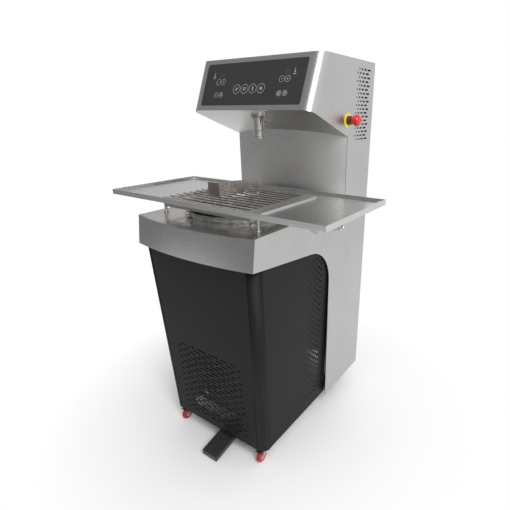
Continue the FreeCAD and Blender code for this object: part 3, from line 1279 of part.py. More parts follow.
def fan_centre():
    """Depth of the fan's front edge and height of its axle."""
    return CONDENSER_D, FRAME_TOP_Z + SEAM + CONDENSER_H / 2


def fan_shroud():
    """Square shroud behind the condenser, with the motor on two struts."""
    front, z = fan_centre()
    depth = FAN_DEPTH + 2 * FAN_CLEAR
    half = FAN_R + FAN_CLEAR + FAN_WALL
    shell = box(-half, half, front - depth, front, z - half, z + half)
    shell = shell.cut(rod_y(0, front - 2 * depth, front + depth, z, FAN_R + FAN_CLEAR))
    motor = rod_y(0, front - depth - 30, front - depth + 3, z, FAN_HUB_R)
    strut = box(-half, half, front - depth - FAN_WALL, front - depth, z - 8, z + 8)
    shroud = joined([shell, motor, strut])
    return shroud.cut(rod_y(0, front - depth - 10, front, z, AXLE_R + RUN))


def cooling_fan():
    """Five pitched blades on a hub, with the shaft into the motor."""
    front, z = fan_centre()
    d0 = front - FAN_DEPTH - FAN_CLEAR
    hub = rod_y(0, d0, d0 + FAN_DEPTH, z, FAN_HUB_R)
    shaft = rod_y(0, d0 - 14, d0 + 2, z, AXLE_R)
    parts = [hub, shaft]
    for n in range(FAN_BLADES):
        blade = Part.makeBox(FAN_R * 0.55, 2.0, FAN_R - FAN_HUB_R + 4, V(-FAN_R * 0.275, -1.0, FAN_HUB_R - 4))
        blade.rotate(V(0, 0, 0), UP, 32)
        blade = blade.common(Part.makeCylinder(FAN_R - 1, FAN_DEPTH - 2, V(0, FAN_DEPTH / 2 - 1, 0), FORWARD))
        blade.rotate(V(0, 0, 0), V(0, 1, 0), n * 360.0 / FAN_BLADES)
        blade.translate(V(0, back(d0 + FAN_DEPTH / 2), z))
        parts.append(blade)
    return joined(parts)


def control_box():
    """Electrical box on the inside of the service door's upper edge."""
    half = BOX_W / 2
    d0 = SHEET + SEAM
    body = box(-half, half, d0, d0 + BOX_T, BOX_Z - BOX_H / 2, BOX_Z + BOX_H / 2)
    return body.makeFillet(4.0, [e for e in body.Edges if e.BoundBox.YLength > BOX_T / 2])


def power_inlet():
    """Appliance inlet set in the service door, its socket facing the rear."""
    x0, x1 = INLET_X - INLET_W / 2 + SEAM, INLET_X + INLET_W / 2 - SEAM
    z0, z1 = INLET_Z - INLET_H / 2 + SEAM, INLET_Z + INLET_H / 2 - SEAM
    body = box(x0, x1, 0.0, INLET_T * 4, z0, z1)
    flange = box(x0 - 6, x1 + 6, SHEET, SHEET + 2, z0 - 6, z1 + 6)
    inlet = joined([body, flange])
    socket = box(x0 + 10, x1 - 10, 0.0, INLET_T * 2, INLET_Z - 11, INLET_Z + 11)
    inlet = inlet.cut(socket)
    pins = [box(INLET_X + dx - 1, INLET_X + dx + 1, 3.0, INLET_T * 2 + 1, INLET_Z + dz - 2.5, INLET_Z + dz + 2.5)
            for dx, dz in ((-7, -3), (7, -3), (0, 4))]
    return joined([inlet] + pins)


# ---------------------------------------------------------------- build
def main():
    os.makedirs("parts", exist_ok=True)
    nodes = {
        "side_panel_left": side_panel(-1),
        "side_panel_right": side_panel(1),
        "head_front": head_front(),
        "head_top": head_top(),
        "head_underside": head_underside(),
        "column_front": column_front(),
        "front_apron": front_apron(),
        "deck_plate": deck_plate(),
        "lower_cabinet": lower_cabinet(),
        "rear_panel": rear_panel(),
        "rear_door": rear_door(),
        "base_frame": base_frame(),
        "uprights": uprights(),
        "control_glass": control_glass(),
        "stop_plate": stop_plate(),
        "stop_collar": stop_collar(),
        "stop_button": stop_button(),
        "tank": tank(),
        "transfer_pipe": transfer_pipe(),
        "stir_gearmotor": stir_gearmotor(),
        "stir_paddle": stir_paddle(),
        "auger_tube": auger_tube(),
        "auger_screw": auger_screw(),
        "auger_gearmotor": auger_gearmotor(),
        "delivery_pipe": delivery_pipe(),
        "spout": spout(),
        "spout_clamp": spout_clamp(),
        "clamp_lever": clamp_lever(),
        "table_tray": table_tray(),
        "tapping_bar": tapping_bar(),
        "table_subframe": table_subframe(),
        "spring_posts": spring_posts(),
        "table_springs": table_springs(),
        "grille": grille(),
        "table_vibrator": table_vibrator(),
        "scraper": scraper(),
        "table_lock": table_lock(),
        "foot_pedal": foot_pedal(),
        "pedal_bracket": pedal_bracket(),
        "compressor": compressor(),
        "condenser": condenser(),
        "fan_shroud": fan_shroud(),
        "cooling_fan": cooling_fan(),
        "control_box": control_box(),
        "power_inlet": power_inlet(),
        "caster_plates": caster_plates(),
    }
    for end, front in (("front", True), ("rear", False)):
        for word, side in (("left", -1), ("right", 1)):
            place = (side * CASTER_X, caster_depth(front))
            tag = end + "_" + word
            nodes["fork_" + tag] = caster_fork(place[0], place[1], front)
            nodes["wheel_" + tag] = caster_tyre(*place)
            nodes["hub_" + tag] = caster_hub(*place)
            if front:
                nodes["brake_" + tag] = brake_lever(*place)
    for name, shape in nodes.items():
        save(name, shape)


main()
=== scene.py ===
import json
import math

import bmesh
import bpy
from mathutils import Matrix, Vector
from mathutils.geometry import delaunay_2d_cdt


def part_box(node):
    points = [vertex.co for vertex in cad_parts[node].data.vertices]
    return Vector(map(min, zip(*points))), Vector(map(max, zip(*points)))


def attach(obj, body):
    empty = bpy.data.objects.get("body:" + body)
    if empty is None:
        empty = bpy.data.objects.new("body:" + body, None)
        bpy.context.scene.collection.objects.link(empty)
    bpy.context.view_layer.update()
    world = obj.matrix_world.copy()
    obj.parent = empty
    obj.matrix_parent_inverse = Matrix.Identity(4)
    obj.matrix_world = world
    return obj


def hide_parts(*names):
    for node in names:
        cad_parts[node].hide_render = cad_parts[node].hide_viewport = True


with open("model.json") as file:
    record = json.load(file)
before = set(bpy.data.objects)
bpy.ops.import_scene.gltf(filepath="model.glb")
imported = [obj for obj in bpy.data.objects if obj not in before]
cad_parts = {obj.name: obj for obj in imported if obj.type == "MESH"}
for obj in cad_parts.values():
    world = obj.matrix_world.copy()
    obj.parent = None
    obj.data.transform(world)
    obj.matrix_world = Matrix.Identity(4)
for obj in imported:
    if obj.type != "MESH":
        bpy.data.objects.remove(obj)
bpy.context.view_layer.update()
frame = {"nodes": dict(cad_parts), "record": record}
NODES = frame["nodes"]
SCENE = bpy.context.scene

MM = 0.001
PRINT_LIFT = 0.06 * MM      # how far a printed mark stands off the glass


# ---------------------------------------------------------------- shader helpers
def new_material(name):
    """Material with a default Principled surface; returns the material, its tree and the shader."""
    material = bpy.data.materials.new(name)
    material.use_nodes = True
    tree = material.node_tree
    return material, tree, tree.nodes["Principled BSDF"]


def object_coords(tree, scale):
    """Object coordinates stretched by a scale along each axis."""
    coords = tree.nodes.new("ShaderNodeTexCoord")
    mapping = tree.nodes.new("ShaderNodeMapping")
    mapping.inputs["Scale"].default_value = scale
    tree.links.new(coords.outputs["Object"], mapping.inputs["Vector"])
    return mapping.outputs["Vector"]


def noise(tree, vector, scale, detail=4.0, roughness=0.6, distortion=0.0):
    node = tree.nodes.new("ShaderNodeTexNoise")
    node.inputs["Scale"].default_value = scale
    node.inputs["Detail"].default_value = detail
    node.inputs["Roughness"].default_value = roughness
    node.inputs["Distortion"].default_value = distortion
    tree.links.new(vector, node.inputs["Vector"])
    return node.outputs["Fac"]


def as_colour(value):
    if isinstance(value, (int, float)):
        value = (value, value, value)
    return (*value, 1.0)


def ramp(tree, value, low, high, start=0.3, end=0.7):
    """Map a 0 to 1 value between two greys or colours."""
    node = tree.nodes.new("ShaderNodeValToRGB")
    node.color_ramp.elements[0].position = start
    node.color_ramp.elements[1].position = end
    node.color_ramp.elements[0].color = as_colour(low)
    node.color_ramp.elements[1].color = as_colour(high)
    tree.links.new(value, node.inputs["Fac"])
    return node.outputs["Color"]


def shade(colour, factor):
    return tuple(min(1.0, c * factor) for c in colour)


def bump(tree, shader, height, strength, distance):
    node = tree.nodes.new("ShaderNodeBump")
    node.inputs["Strength"].default_value = strength
    node.inputs["Distance"].default_value = distance
    tree.links.new(height, node.inputs["Height"])
    tree.links.new(node.outputs["Normal"], shader.inputs["Normal"])


def multiply(tree, a, b):
    node = tree.nodes.new("ShaderNodeMix")
    node.data_type = "RGBA"
    node.blend_type = "MULTIPLY"
    node.inputs["Factor"].default_value = 1.0
    tree.links.new(a, node.inputs["A"])
    tree.links.new(b, node.inputs["B"])
    return node.outputs["Result"]


# ---------------------------------------------------------------- materials
# stretch of the streaks along each axis; the small number is the way of the brushing
GRAIN = {"x": (2.0, 160.0, 160.0), "y": (160.0, 2.0, 160.0), "z": (160.0, 160.0, 2.0)}
EVEN = (1.0, 1.0, 1.0)
CLOUD = 0.06                # depth of the faint clouds on brushed steel
# noise scales, on object coordinates in metres
STREAK_SCALE = 6.0
CLOUD_SCALE = 7.0
SPECKLE_SCALE = 420.0
WEAR_SCALE = 60.0
SWIRL_SCALE = 24.0
COAT_SCALE = 900.0
COAT_CLOUD_SCALE = 14.0
SMEAR_SCALE = 18.0
DOT_SCALE = 1500.0
# heights of the bump, in metres
GRAIN_HEIGHT = 0.0002
WEAR_HEIGHT = 0.0001


def brushed(name, colour, grain, rough=(0.26, 0.38), streak=0.10, bump_strength=0.10, sparkle=0.05):
    """Brushed stainless: fine streaks along one axis, speckle, faint clouds and a matching roughness."""
    material, tree, shader = new_material(name)
    lines = noise(tree, object_coords(tree, GRAIN[grain]), STREAK_SCALE, 6.0, 0.7)
    plain = object_coords(tree, EVEN)
    clouds = noise(tree, plain, CLOUD_SCALE, 3.0)
    speckle = noise(tree, plain, SPECKLE_SCALE, 2.0, 0.7)
    tint = multiply(tree, ramp(tree, lines, shade(colour, 1 - streak), shade(colour, 1 + streak)),
                    ramp(tree, clouds, 1 - CLOUD, 1.0))
    tint = multiply(tree, tint, ramp(tree, speckle, 1 - sparkle, 1.0))
    tree.links.new(tint, shader.inputs["Base Color"])
    tree.links.new(ramp(tree, lines, rough[0], rough[1]), shader.inputs["Roughness"])
    shader.inputs["Metallic"].default_value = 1.0
    bump(tree, shader, lines, bump_strength, GRAIN_HEIGHT)
    return material


def polished(name, colour, rough=(0.10, 0.22), painted_reflection_swirl=0.0):
    """Polished steel with faint wear marks; the swirl setting darkens the colour in slow waves: a painted
    reflection, standing in for the marbled look of the polished rim.
    """
    material, tree, shader = new_material(name)
    plain = object_coords(tree, EVEN)
    marks = noise(tree, plain, WEAR_SCALE, 5.0)
    tint = ramp(tree, marks, shade(colour, 0.86), colour)
    if painted_reflection_swirl:
        # wavy darkening of the colour, standing in for the marbled reflection of the polished steel: painted
        # reflection
        reflection_waves = noise(tree, plain, SWIRL_SCALE, 2.0, 0.5, 1.6)
        tint = multiply(tree, tint, ramp(tree, reflection_waves, 1 - painted_reflection_swirl, 1.0, 0.4, 0.6))
    tree.links.new(tint, shader.inputs["Base Color"])
    tree.links.new(ramp(tree, marks, rough[0], rough[1]), shader.inputs["Roughness"])
    shader.inputs["Metallic"].default_value = 1.0
    bump(tree, shader, marks, 0.05, WEAR_HEIGHT)
    return material


def coated(name, colour, rough=(0.38, 0.52), strength=0.10, level=0.5):
    """Powder coat or moulded plastic with a fine leathery grain."""
    material, tree, shader = new_material(name)
    plain = object_coords(tree, EVEN)
    fine = noise(tree, plain, COAT_SCALE, 3.0)
    wide = noise(tree, plain, COAT_CLOUD_SCALE, 3.0)
    tree.links.new(ramp(tree, wide, shade(colour, 0.92), shade(colour, 1.08)), shader.inputs["Base Color"])
    tree.links.new(ramp(tree, fine, rough[0], rough[1]), shader.inputs["Roughness"])
    shader.inputs["Specular IOR Level"].default_value = level
    bump(tree, shader, fine, strength, GRAIN_HEIGHT)
    return material


def dark_glass(name, colour):
    """Back-printed touch glass: near black, smooth, with a trace of wiping marks."""
    material, tree, shader = new_material(name)
    smear = noise(tree, object_coords(tree, (1.0, 1.0, 3.0)), SMEAR_SCALE, 4.0)
    tree.links.new(ramp(tree, smear, shade(colour, 0.94), shade(colour, 1.06)), shader.inputs["Base Color"])
    tree.links.new(ramp(tree, smear, 0.32, 0.40), shader.inputs["Roughness"])
    shader.inputs["Specular IOR Level"].default_value = 0.25
    bump(tree, shader, smear, 0.02, WEAR_HEIGHT)
    return material


def glowing(name, colour, strength):
    """Print or display seen through the glass, made to glow faintly, with a fine dot grain; on the print
    this glow is painted light.
    """
    material, tree, shader = new_material(name)
    dots = noise(tree, object_coords(tree, EVEN), DOT_SCALE, 1.0)
    tint = ramp(tree, dots, shade(colour, 0.85), colour)
    tree.links.new(tint, shader.inputs["Base Color"])
    tree.links.new(tint, shader.inputs["Emission Color"])
    tree.links.new(ramp(tree, dots, 0.35, 0.45), shader.inputs["Roughness"])
    shader.inputs["Emission Strength"].default_value = strength
    return material


MATERIALS = {
    "side_steel": brushed("side_steel", (0.54, 0.54, 0.535), "z", rough=(0.36, 0.46), streak=0.05),
    "head_steel": brushed("head_steel", (0.58, 0.58, 0.575), "x", rough=(0.26, 0.36)),
    # brighter than the head's steel, to match the bright patch where the column catches light below the
    # head: painted light
    "column_steel": brushed("column_steel", (0.72, 0.715, 0.705), "x", rough=(0.34, 0.48), bump_strength=0.3,
                            sparkle=0.16),
    # the apron is folded from the same sheet as the deck but given a much darker tone, to match the dark
    # reflection it shows: painted shade
    "apron_steel": brushed("apron_steel", (0.46, 0.46, 0.458), "x", rough=(0.24, 0.34)),
    "deck_steel": brushed("deck_steel", (0.78, 0.765, 0.74), "x", rough=(0.16, 0.28)),
    "cabinet_black": coated("cabinet_black", (0.010, 0.010, 0.010), rough=(0.5, 0.6), strength=0.08,
                            level=0.18),
    "back_steel": brushed("back_steel", (0.55, 0.55, 0.545), "z"),
    "frame_zinc": brushed("frame_zinc", (0.42, 0.42, 0.42), "x", rough=(0.4, 0.55)),
    "glass_black": dark_glass("glass_black", (0.040, 0.040, 0.042)),
    "stop_yellow": coated("stop_yellow", (0.78, 0.62, 0.04), rough=(0.3, 0.4)),
    "stop_black": coated("stop_black", (0.022, 0.022, 0.022)),
    "stop_red": coated("stop_red", (0.62, 0.016, 0.022), rough=(0.25, 0.34), strength=0.03),
    # the tank's wavy tone is a painted reflection of its surroundings
    "tank_steel": polished("tank_steel", (0.60, 0.59, 0.57), painted_reflection_swirl=0.35),
    "pipe_steel": brushed("pipe_steel", (0.55, 0.55, 0.54), "z"),
    "motor_grey": coated("motor_grey", (0.10, 0.105, 0.11)),
    "screw_steel": brushed("screw_steel", (0.58, 0.58, 0.57), "z"),
    "spout_chrome": polished("spout_chrome", (0.60, 0.58, 0.57)),
    "clamp_steel": polished("clamp_steel", (0.40, 0.39, 0.38), rough=(0.25, 0.4)),
    "lever_steel": polished("lever_steel", (0.40, 0.38, 0.37), rough=(0.2, 0.35)),
    "table_steel": brushed("table_steel", (0.66, 0.655, 0.645), "x", rough=(0.22, 0.34)),
    "bar_steel": brushed("bar_steel", (0.72, 0.715, 0.70), "y", rough=(0.3, 0.42)),
    "subframe_steel": brushed("subframe_steel", (0.45, 0.44, 0.43), "x"),
    "spring_steel": polished("spring_steel", (0.62, 0.61, 0.60)),
    # the grille's wavy tone is a painted reflection as well
    "grille_steel": polished("grille_steel", (0.74, 0.69, 0.66), painted_reflection_swirl=0.3),
    "scraper_steel": brushed("scraper_steel", (0.36, 0.33, 0.31), "z", rough=(0.2, 0.36)),
    "lock_steel": polished("lock_steel", (0.62, 0.61, 0.60)),
    "pedal_black": coated("pedal_black", (0.030, 0.030, 0.030), rough=(0.3, 0.42)),
    "compressor_black": coated("compressor_black", (0.02, 0.02, 0.02)),
    # kept far darker than bare aluminium so that the slots read dark: painted shade for the inside of the
    # cabinet
    "condenser_alu": brushed("condenser_alu", (0.10, 0.10, 0.10), "z"),
    "fan_black": coated("fan_black", (0.02, 0.02, 0.02)),
    "box_grey": coated("box_grey", (0.32, 0.33, 0.34)),
    "inlet_black": coated("inlet_black", (0.02, 0.02, 0.02)),
    "caster_zinc": polished("caster_zinc", (0.50, 0.51, 0.52), rough=(0.2, 0.36)),
    "tyre_red": coated("tyre_red", (0.42, 0.012, 0.028), rough=(0.45, 0.6)),
    "hub_grey": coated("hub_grey", (0.55, 0.55, 0.54)),
    "brake_black": coated("brake_black", (0.015, 0.015, 0.015)),
}
# white print given a faint glow of its own: painted light, as print gives off none
PRINT_PAINTED_GLOW = glowing("glass_print", (0.42, 0.43, 0.44), 0.12)
DISPLAY_BLUE = glowing("glass_display", (0.030, 0.050, 0.105), 0.5)


def dress_nodes():
    """Give each CAD node the material of its record slot."""
    slots = {s["node"]: s["material_slot"] for s in frame["record"]["subparts"]}
    for name, node in NODES.items():
        node.data.materials.clear()
        node.data.materials.append(MATERIALS[slots[name]])


# ---------------------------------------------------------------- mesh helpers
def new_piece(name, verts, faces, material, body):
    """Mesh piece that rides on a body and wears the material it is given."""
    mesh = bpy.data.meshes.new(name)
    mesh.from_pydata(verts, [], faces)
    mesh.materials.append(material)
    piece = bpy.data.objects.new(name, mesh)
    SCENE.collection.objects.link(piece)
    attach(piece, body)
    return piece


def slot_outline(a, z, length, height, steps):
    """Outline of a hole with round ends, anticlockwise; a short one is a round hole."""
    radius = min(height, length) / 2
    half = length / 2 - radius if length > height else 0.0
    points = []
    for centre, start in ((half, -90), (-half, 90)):
        for step in range(steps + 1):
            turn = math.radians(start + 180 * step / steps)
            points.append((a + centre + radius * math.cos(turn), z + radius * math.sin(turn)))
    if half == 0.0:
        points = points[:steps] + points[steps + 1:-1]
    return points


# ---------------------------------------------------------------- perforated cabinet
CABINET_LOW, CABINET_HIGH = (Vector(c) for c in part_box("lower_cabinet"))
CABINET_TAPER_X = 15 * MM       # how much narrower each side is at the floor end
CABINET_TAPER_Y = 31 * MM       # how far the front falls back at the floor end
CABINET_CORNER = 36 * MM
CABINET_SHEET = 1.5 * MM
CORNER_STEPS = 10
NEAR_A = 30 * MM                # a hole further off than this can't hold a triangle's middle
NEAR_Z = 4 * MM
WELD = 1e-6                     # corner points of two panels nearer than this are one
FLAT_TOLERANCE = 1e-7
SLOT_H = 5.2 * MM
HOLE_STEPS = 4                  # facets of each round end
FRONT_ROUND = 10                # a front hole no longer than this is round, mm
SIDE_ROUND = 6                  # the same at the sides
FRONT_TOP_Z = 434 * MM
FRONT_PITCH = 14 * MM
FRONT_ROWS = 24
# centre and length of the holes right of the middle, in mm; the left ones mirror them
FRONT_EVEN = ((30, 46), (83.5, 35), (129, 27), (170.5, 4.6), (199, 4))
FRONT_ODD = ((0, 50), (60, 39), (109, 28), (155.5, 20), (183, 4.4))
SIDE_TOP_Z = 757 * MM
SIDE_PITCH = 12.7 * MM
SIDE_ROWS = 50
SIDE_FIRST_Y = 53 * MM         # rear end of the side pattern
# distance of each centre in front of that end, and length, in mm
SIDE_EVEN = ((9, 17), (38, 13), (64, 9), (89, 5), (112, 4.2))
SIDE_ODD = ((24, 15), (52, 11), (77, 7), (101, 4.6), (130, 3.6))


def cabinet_half_w(z):
    share = (CABINET_HIGH.z - z) / (CABINET_HIGH.z - CABINET_LOW.z)
    return CABINET_HIGH.x - CABINET_TAPER_X * share


def cabinet_front_y(z):
    share = (CABINET_HIGH.z - z) / (CABINET_HIGH.z - CABINET_LOW.z)
    return CABINET_LOW.y + CABINET_TAPER_Y * share


def front_holes():
    holes = []
    for row in range(FRONT_ROWS):
        z = FRONT_TOP_Z - row * FRONT_PITCH
        for centre, length in FRONT_ODD if row % 2 else FRONT_EVEN:
            for side in (-1, 1) if centre else (1,):
                height = SLOT_H if length > FRONT_ROUND else length * MM
                holes.append(slot_outline(side * centre * MM, z, length * MM, height, HOLE_STEPS))
    return holes


def side_holes():
    holes = []
    for row in range(SIDE_ROWS):
        z = SIDE_TOP_Z - row * SIDE_PITCH
        for ahead, length in SIDE_ODD if row % 2 else SIDE_EVEN:
            height = SLOT_H if length > SIDE_ROUND else length * MM
            holes.append(slot_outline(SIDE_FIRST_Y - ahead * MM, z, length * MM, height, HOLE_STEPS))
    return holes


def inside(point, outline):
    """Whether a point lies inside a convex anticlockwise outline."""
    for i, corner in enumerate(outline):
        after = outline[(i + 1) % len(outline)]
        edge = (after[0] - corner[0], after[1] - corner[1])
        if edge[0] * (point[1] - corner[1]) - edge[1] * (point[0] - corner[0]) < 0:
            return False
    return True


def perforated_panel(outline, holes, place, outward):
    """Triangles of a flat panel with holes in it, set in space by place(a, z)."""
    points, edges = [], []
    for loop in [outline, *holes]:
        start = len(points)
        points.extend(Vector(p) for p in loop)
        edges.extend((start + i, start + (i + 1) % len(loop)) for i in range(len(loop)))
    flat, _, triangles, *_ = delaunay_2d_cdt(points, edges, [], 0, FLAT_TOLERANCE, False)
    middles = [sum((Vector(p) for p in hole), Vector((0, 0))) / len(hole) for hole in holes]
    kept = []
    for triangle in triangles:
        centre = sum((flat[i] for i in triangle), Vector((0, 0))) / 3
        near = [hole for hole, middle in zip(holes, middles)
                if abs(middle.x - centre.x) < NEAR_A and abs(middle.y - centre.y) < NEAR_Z]
        if inside(centre, outline) and not any(inside(centre, hole) for hole in near):
            kept.append(tuple(triangle))
    verts = [place(p.x, p.y) for p in flat]
    a, b, c = (verts[i] for i in kept[0])
    if (b - a).cross(c - a).dot(outward) < 0:
        kept = [tuple(reversed(t)) for t in kept]
    return verts, kept


def corner_strip(side):
    """Ruled faces of one rounded front corner. They look inwards, so the sheet thickens outwards here."""
    verts = []
    for step in range(CORNER_STEPS + 1):
        turn = math.radians(90 * step / CORNER_STEPS)
        for z in (CABINET_LOW.z, CABINET_HIGH.z):
            x = cabinet_half_w(z) - CABINET_CORNER * (1 - math.cos(turn))
            y = cabinet_front_y(z) + CABINET_CORNER * (1 - math.sin(turn))
            verts.append(Vector((side * x, y, z)))
    faces = []
    for step in range(CORNER_STEPS):
        a = 2 * step
        face = (a, a + 1, a + 3, a + 2)
        faces.append(face if side < 0 else tuple(reversed(face)))
    return verts, faces


def cabinet_skin():
    """The black wrap with its pattern of slots and round holes, in sheet of real thickness."""
    low, high = CABINET_LOW.z, CABINET_HIGH.z
    flat = [(-cabinet_half_w(low) + CABINET_CORNER, low), (cabinet_half_w(low) - CABINET_CORNER, low),
            (cabinet_half_w(high) - CABINET_CORNER, high), (-cabinet_half_w(high) + CABINET_CORNER, high)]
    panels = [perforated_panel(flat, front_holes(), lambda a, z: Vector((a, cabinet_front_y(z), z)),
                               Vector((0, -1, 0)))]
    flank = [(cabinet_front_y(low) + CABINET_CORNER, low), (CABINET_HIGH.y, low), (CABINET_HIGH.y, high),
             (cabinet_front_y(high) + CABINET_CORNER, high)]
    for side in (-1, 1):
        panels.append(perforated_panel(flank, side_holes(),
                                       lambda a, z, side=side: Vector((side * cabinet_half_w(z), a, z)),
                                       Vector((side, 0, 0))))
    flat_faces = sum(len(faces) for _, faces in panels)
    panels += [corner_strip(side) for side in (-1, 1)]
    verts, faces = [], []
    for part_verts, part_faces in panels:
        faces += [tuple(i + len(verts) for i in face) for face in part_faces]
        verts += part_verts
    skin = new_piece("cabinet_skin", verts, faces, MATERIALS["cabinet_black"], "chassis")
    skin.data.polygons.foreach_set("use_smooth", [i >= flat_faces for i in range(len(faces))])
    mesh = bmesh.new()
    mesh.from_mesh(skin.data)
    bmesh.ops.remove_doubles(mesh, verts=mesh.verts, dist=WELD)
    mesh.to_mesh(skin.data)
    mesh.free()
    sheet = skin.modifiers.new("sheet", "SOLIDIFY")
    sheet.thickness = CABINET_SHEET
    sheet.offset = -1.0
    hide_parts("lower_cabinet")


# ---------------------------------------------------------------- marks on the control glass
GLASS_HIGH = Vector(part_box("control_glass")[1])
HEAD_RUN = 73.0                                 # mm that the head's front leans back
HEAD_RISE = 172.5                               # over this height
HEAD_SLOPE = math.atan2(HEAD_RUN, HEAD_RISE)
GLASS_TOP_S = 17 * MM                           # glass edge below the head's top edge, along the slope
GLASS_THICK = 4 * MM
GLASS_EDGE = Vector((0, -GLASS_THICK * math.cos(HEAD_SLOPE), 0))
MARKS = {"verts": [], "faces": []}              # what mark() gathers for the one printed piece
# all sizes and places of the marks are in mm: x from the middle, s down the slope from the head's top edge
BIG_RING = 16                                   # radius
BIG_RING_LINE = 1.25
BIG_RINGS = (-60, -23.5, 13, 49.5)
BIG_RINGS_S = 112
BIG_RING_STEPS = 56
FROST_ARM = 6.4
SMALL_RING = 10.2
SMALL_RING_LINE = 1.2
LOWER_RING_TRIM = 1.2                           # the lower pairs' rings are smaller by this
SMALL_PAIRS = ((-155.5, 83.5), (-155.5, 131), (130, 83.5), (130, 131))
UPPER_PAIRS_S = 100                             # pairs above this line lower and raise a value
PAIR_STEP = 24
THERMOMETERS = ((-180, 58.5), (177, 58.5))
WAVE_STEP = 3.6
WAVE_RISE = 0.9
DISC_STEPS = 20
DISPLAYS = ((-141, 62), (150, 60.5))
DIGITS = (-6.2, 6.2)
# middle, width and height of each of the seven segments
SEGMENTS = ((0, -7, 7, 1.6), (0, 0, 7, 1.6), (0, 7, 7, 1.6), (-4.2, -3.5, 1.6, 5.4), (4.2, -3.5, 1.6, 5.4),
            (-4.2, 3.5, 1.6, 5.4), (4.2, 3.5, 1.6, 5.4))


def on_glass(x, s):
    """Point on the glass, x and s in mm: s runs down the slope from the head's top edge."""
    down = s * MM - GLASS_TOP_S
    outward = Vector((0, -math.cos(HEAD_SLOPE), math.sin(HEAD_SLOPE))) * PRINT_LIFT
    top = Vector((0, GLASS_HIGH.y, GLASS_HIGH.z))
    along = Vector((x * MM, -down * math.sin(HEAD_SLOPE), -down * math.cos(HEAD_SLOPE)))
    return top + GLASS_EDGE + along + outward


def mark(points, faces):
    start = len(MARKS["verts"])
    MARKS["verts"] += [on_glass(x, s) for x, s in points]
    MARKS["faces"] += [tuple(start + i for i in face) for face in faces]


def arc_mark(x, s, radius, line, start=0.0, end=360.0, steps=40):
    """Ring or arc of one line width."""
    points, faces = [], []
    for step in range(steps + 1):
        turn = math.radians(start + (end - start) * step / steps)
        for r in (radius - line / 2, radius + line / 2):
            points.append((x + r * math.cos(turn), s - r * math.sin(turn)))
    for step in range(steps):
        a = 2 * step
        faces.append((a, a + 1, a + 3, a + 2))
    mark(points, faces)


def bar_mark(x0, s0, x1, s1, line):
    """Straight stroke between two points."""
    along = Vector((x1 - x0, s1 - s0)).normalized() * (line / 2)
    side = Vector((-along.y, along.x))
    points = [(x0 + side.x, s0 + side.y), (x0 - side.x, s0 - side.y), (x1 - side.x, s1 - side.y),
              (x1 + side.x, s1 + side.y)]
    mark(points, [(0, 1, 2, 3)])


def disc_mark(x, s, radius):
    turns = [math.tau * i / DISC_STEPS for i in range(DISC_STEPS)]
    mark([(x + radius * math.cos(turn), s - radius * math.sin(turn)) for turn in turns],
         [tuple(range(DISC_STEPS))])


def big_icons():
    """Four large touch rings: whisk, circling arrow, drop on a stem, and a frost star."""
    s = BIG_RINGS_S
    for x in BIG_RINGS:
        arc_mark(x, s, BIG_RING, BIG_RING_LINE, steps=BIG_RING_STEPS)
    x = BIG_RINGS[0]
    for shift in (-3.4, 0.0, 3.4):
        bar_mark(x - 4.2 + shift, s + 5.0, x + 3.2 + shift, s - 5.4, 1.6)
    x = BIG_RINGS[1]
    arc_mark(x, s, 5.6, 1.9, -30, 250, 30)
    bar_mark(x - 4.8, s + 1.2, x - 1.2, s + 4.8, 2.2)
    disc_mark(x + 1.2, s + 1.0, 1.4)
    x = BIG_RINGS[2]
    disc_mark(x, s - 1.2, 3.0)
    bar_mark(x, s - 8.6, x, s + 8.6, 2.0)
    bar_mark(x - 2.8, s - 4.8, x + 2.8, s - 4.8, 1.5)
    bar_mark(x - 2.4, s + 5.4, x + 2.4, s + 5.4, 1.4)
    x = BIG_RINGS[3]
    for turn in range(0, 180, 30):
        dx, ds = FROST_ARM * math.cos(math.radians(turn)), FROST_ARM * math.sin(math.radians(turn))
        bar_mark(x - dx, s - ds, x + dx, s + ds, 1.5)
    disc_mark(x, s, 3.6)


def small_icons():
    """Pairs of small rings: lower and raise above, mode and timer below."""
    for x, s in SMALL_PAIRS:
        upper = s < UPPER_PAIRS_S
        ring = SMALL_RING if upper else SMALL_RING - LOWER_RING_TRIM
        for step in (0, PAIR_STEP):
            arc_mark(x + step, s, ring, SMALL_RING_LINE)
        if upper:
            bar_mark(x - 2.8, s, x + 2.8, s, 1.5)
            bar_mark(x + PAIR_STEP - 3.0, s, x + PAIR_STEP + 3.0, s, 1.7)
            bar_mark(x + PAIR_STEP, s - 3.0, x + PAIR_STEP, s + 3.0, 1.7)
            continue
        bar_mark(x - 3.4, s + 0.4, x + 3.4, s + 0.4, 1.5)
        if x > 0:
            arc_mark(x, s, 5.2, 1.3, 20, 340, 24)
            disc_mark(x, s, 2.4)
        arc_mark(x + PAIR_STEP, s, 4.4, 1.5, -60, 240, 24)
        bar_mark(x + PAIR_STEP, s - 4.6, x + PAIR_STEP, s + 2.6, 1.8)


def thermometer(x, s):
    """Bulb, stem and the two short waves below it."""
    disc_mark(x, s + 3.2, 2.9)
    bar_mark(x, s + 3.0, x, s - 9.0, 2.3)
    for step in range(4):
        rise = WAVE_RISE if step % 2 else -WAVE_RISE
        bar_mark(x - 7.0 + WAVE_STEP * step, s + 10.0 + rise,
                 x - 3.4 + WAVE_STEP * step, s + 10.0 - rise, 1.7)


def display(name, x, s):
    """Two digits of seven segments each, a dim blue behind the glass."""
    verts, faces = [], []
    for digit in DIGITS:
        for sx, ss, w, h in SEGMENTS:
            start = len(verts)
            for dx, ds in ((-w, -h), (-w, h), (w, h), (w, -h)):
                verts.append(on_glass(x + digit + sx + dx / 2, s + ss + ds / 2))
            faces.append(tuple(start + i for i in range(4)))
    new_piece(name, verts, faces, DISPLAY_BLUE, "chassis")


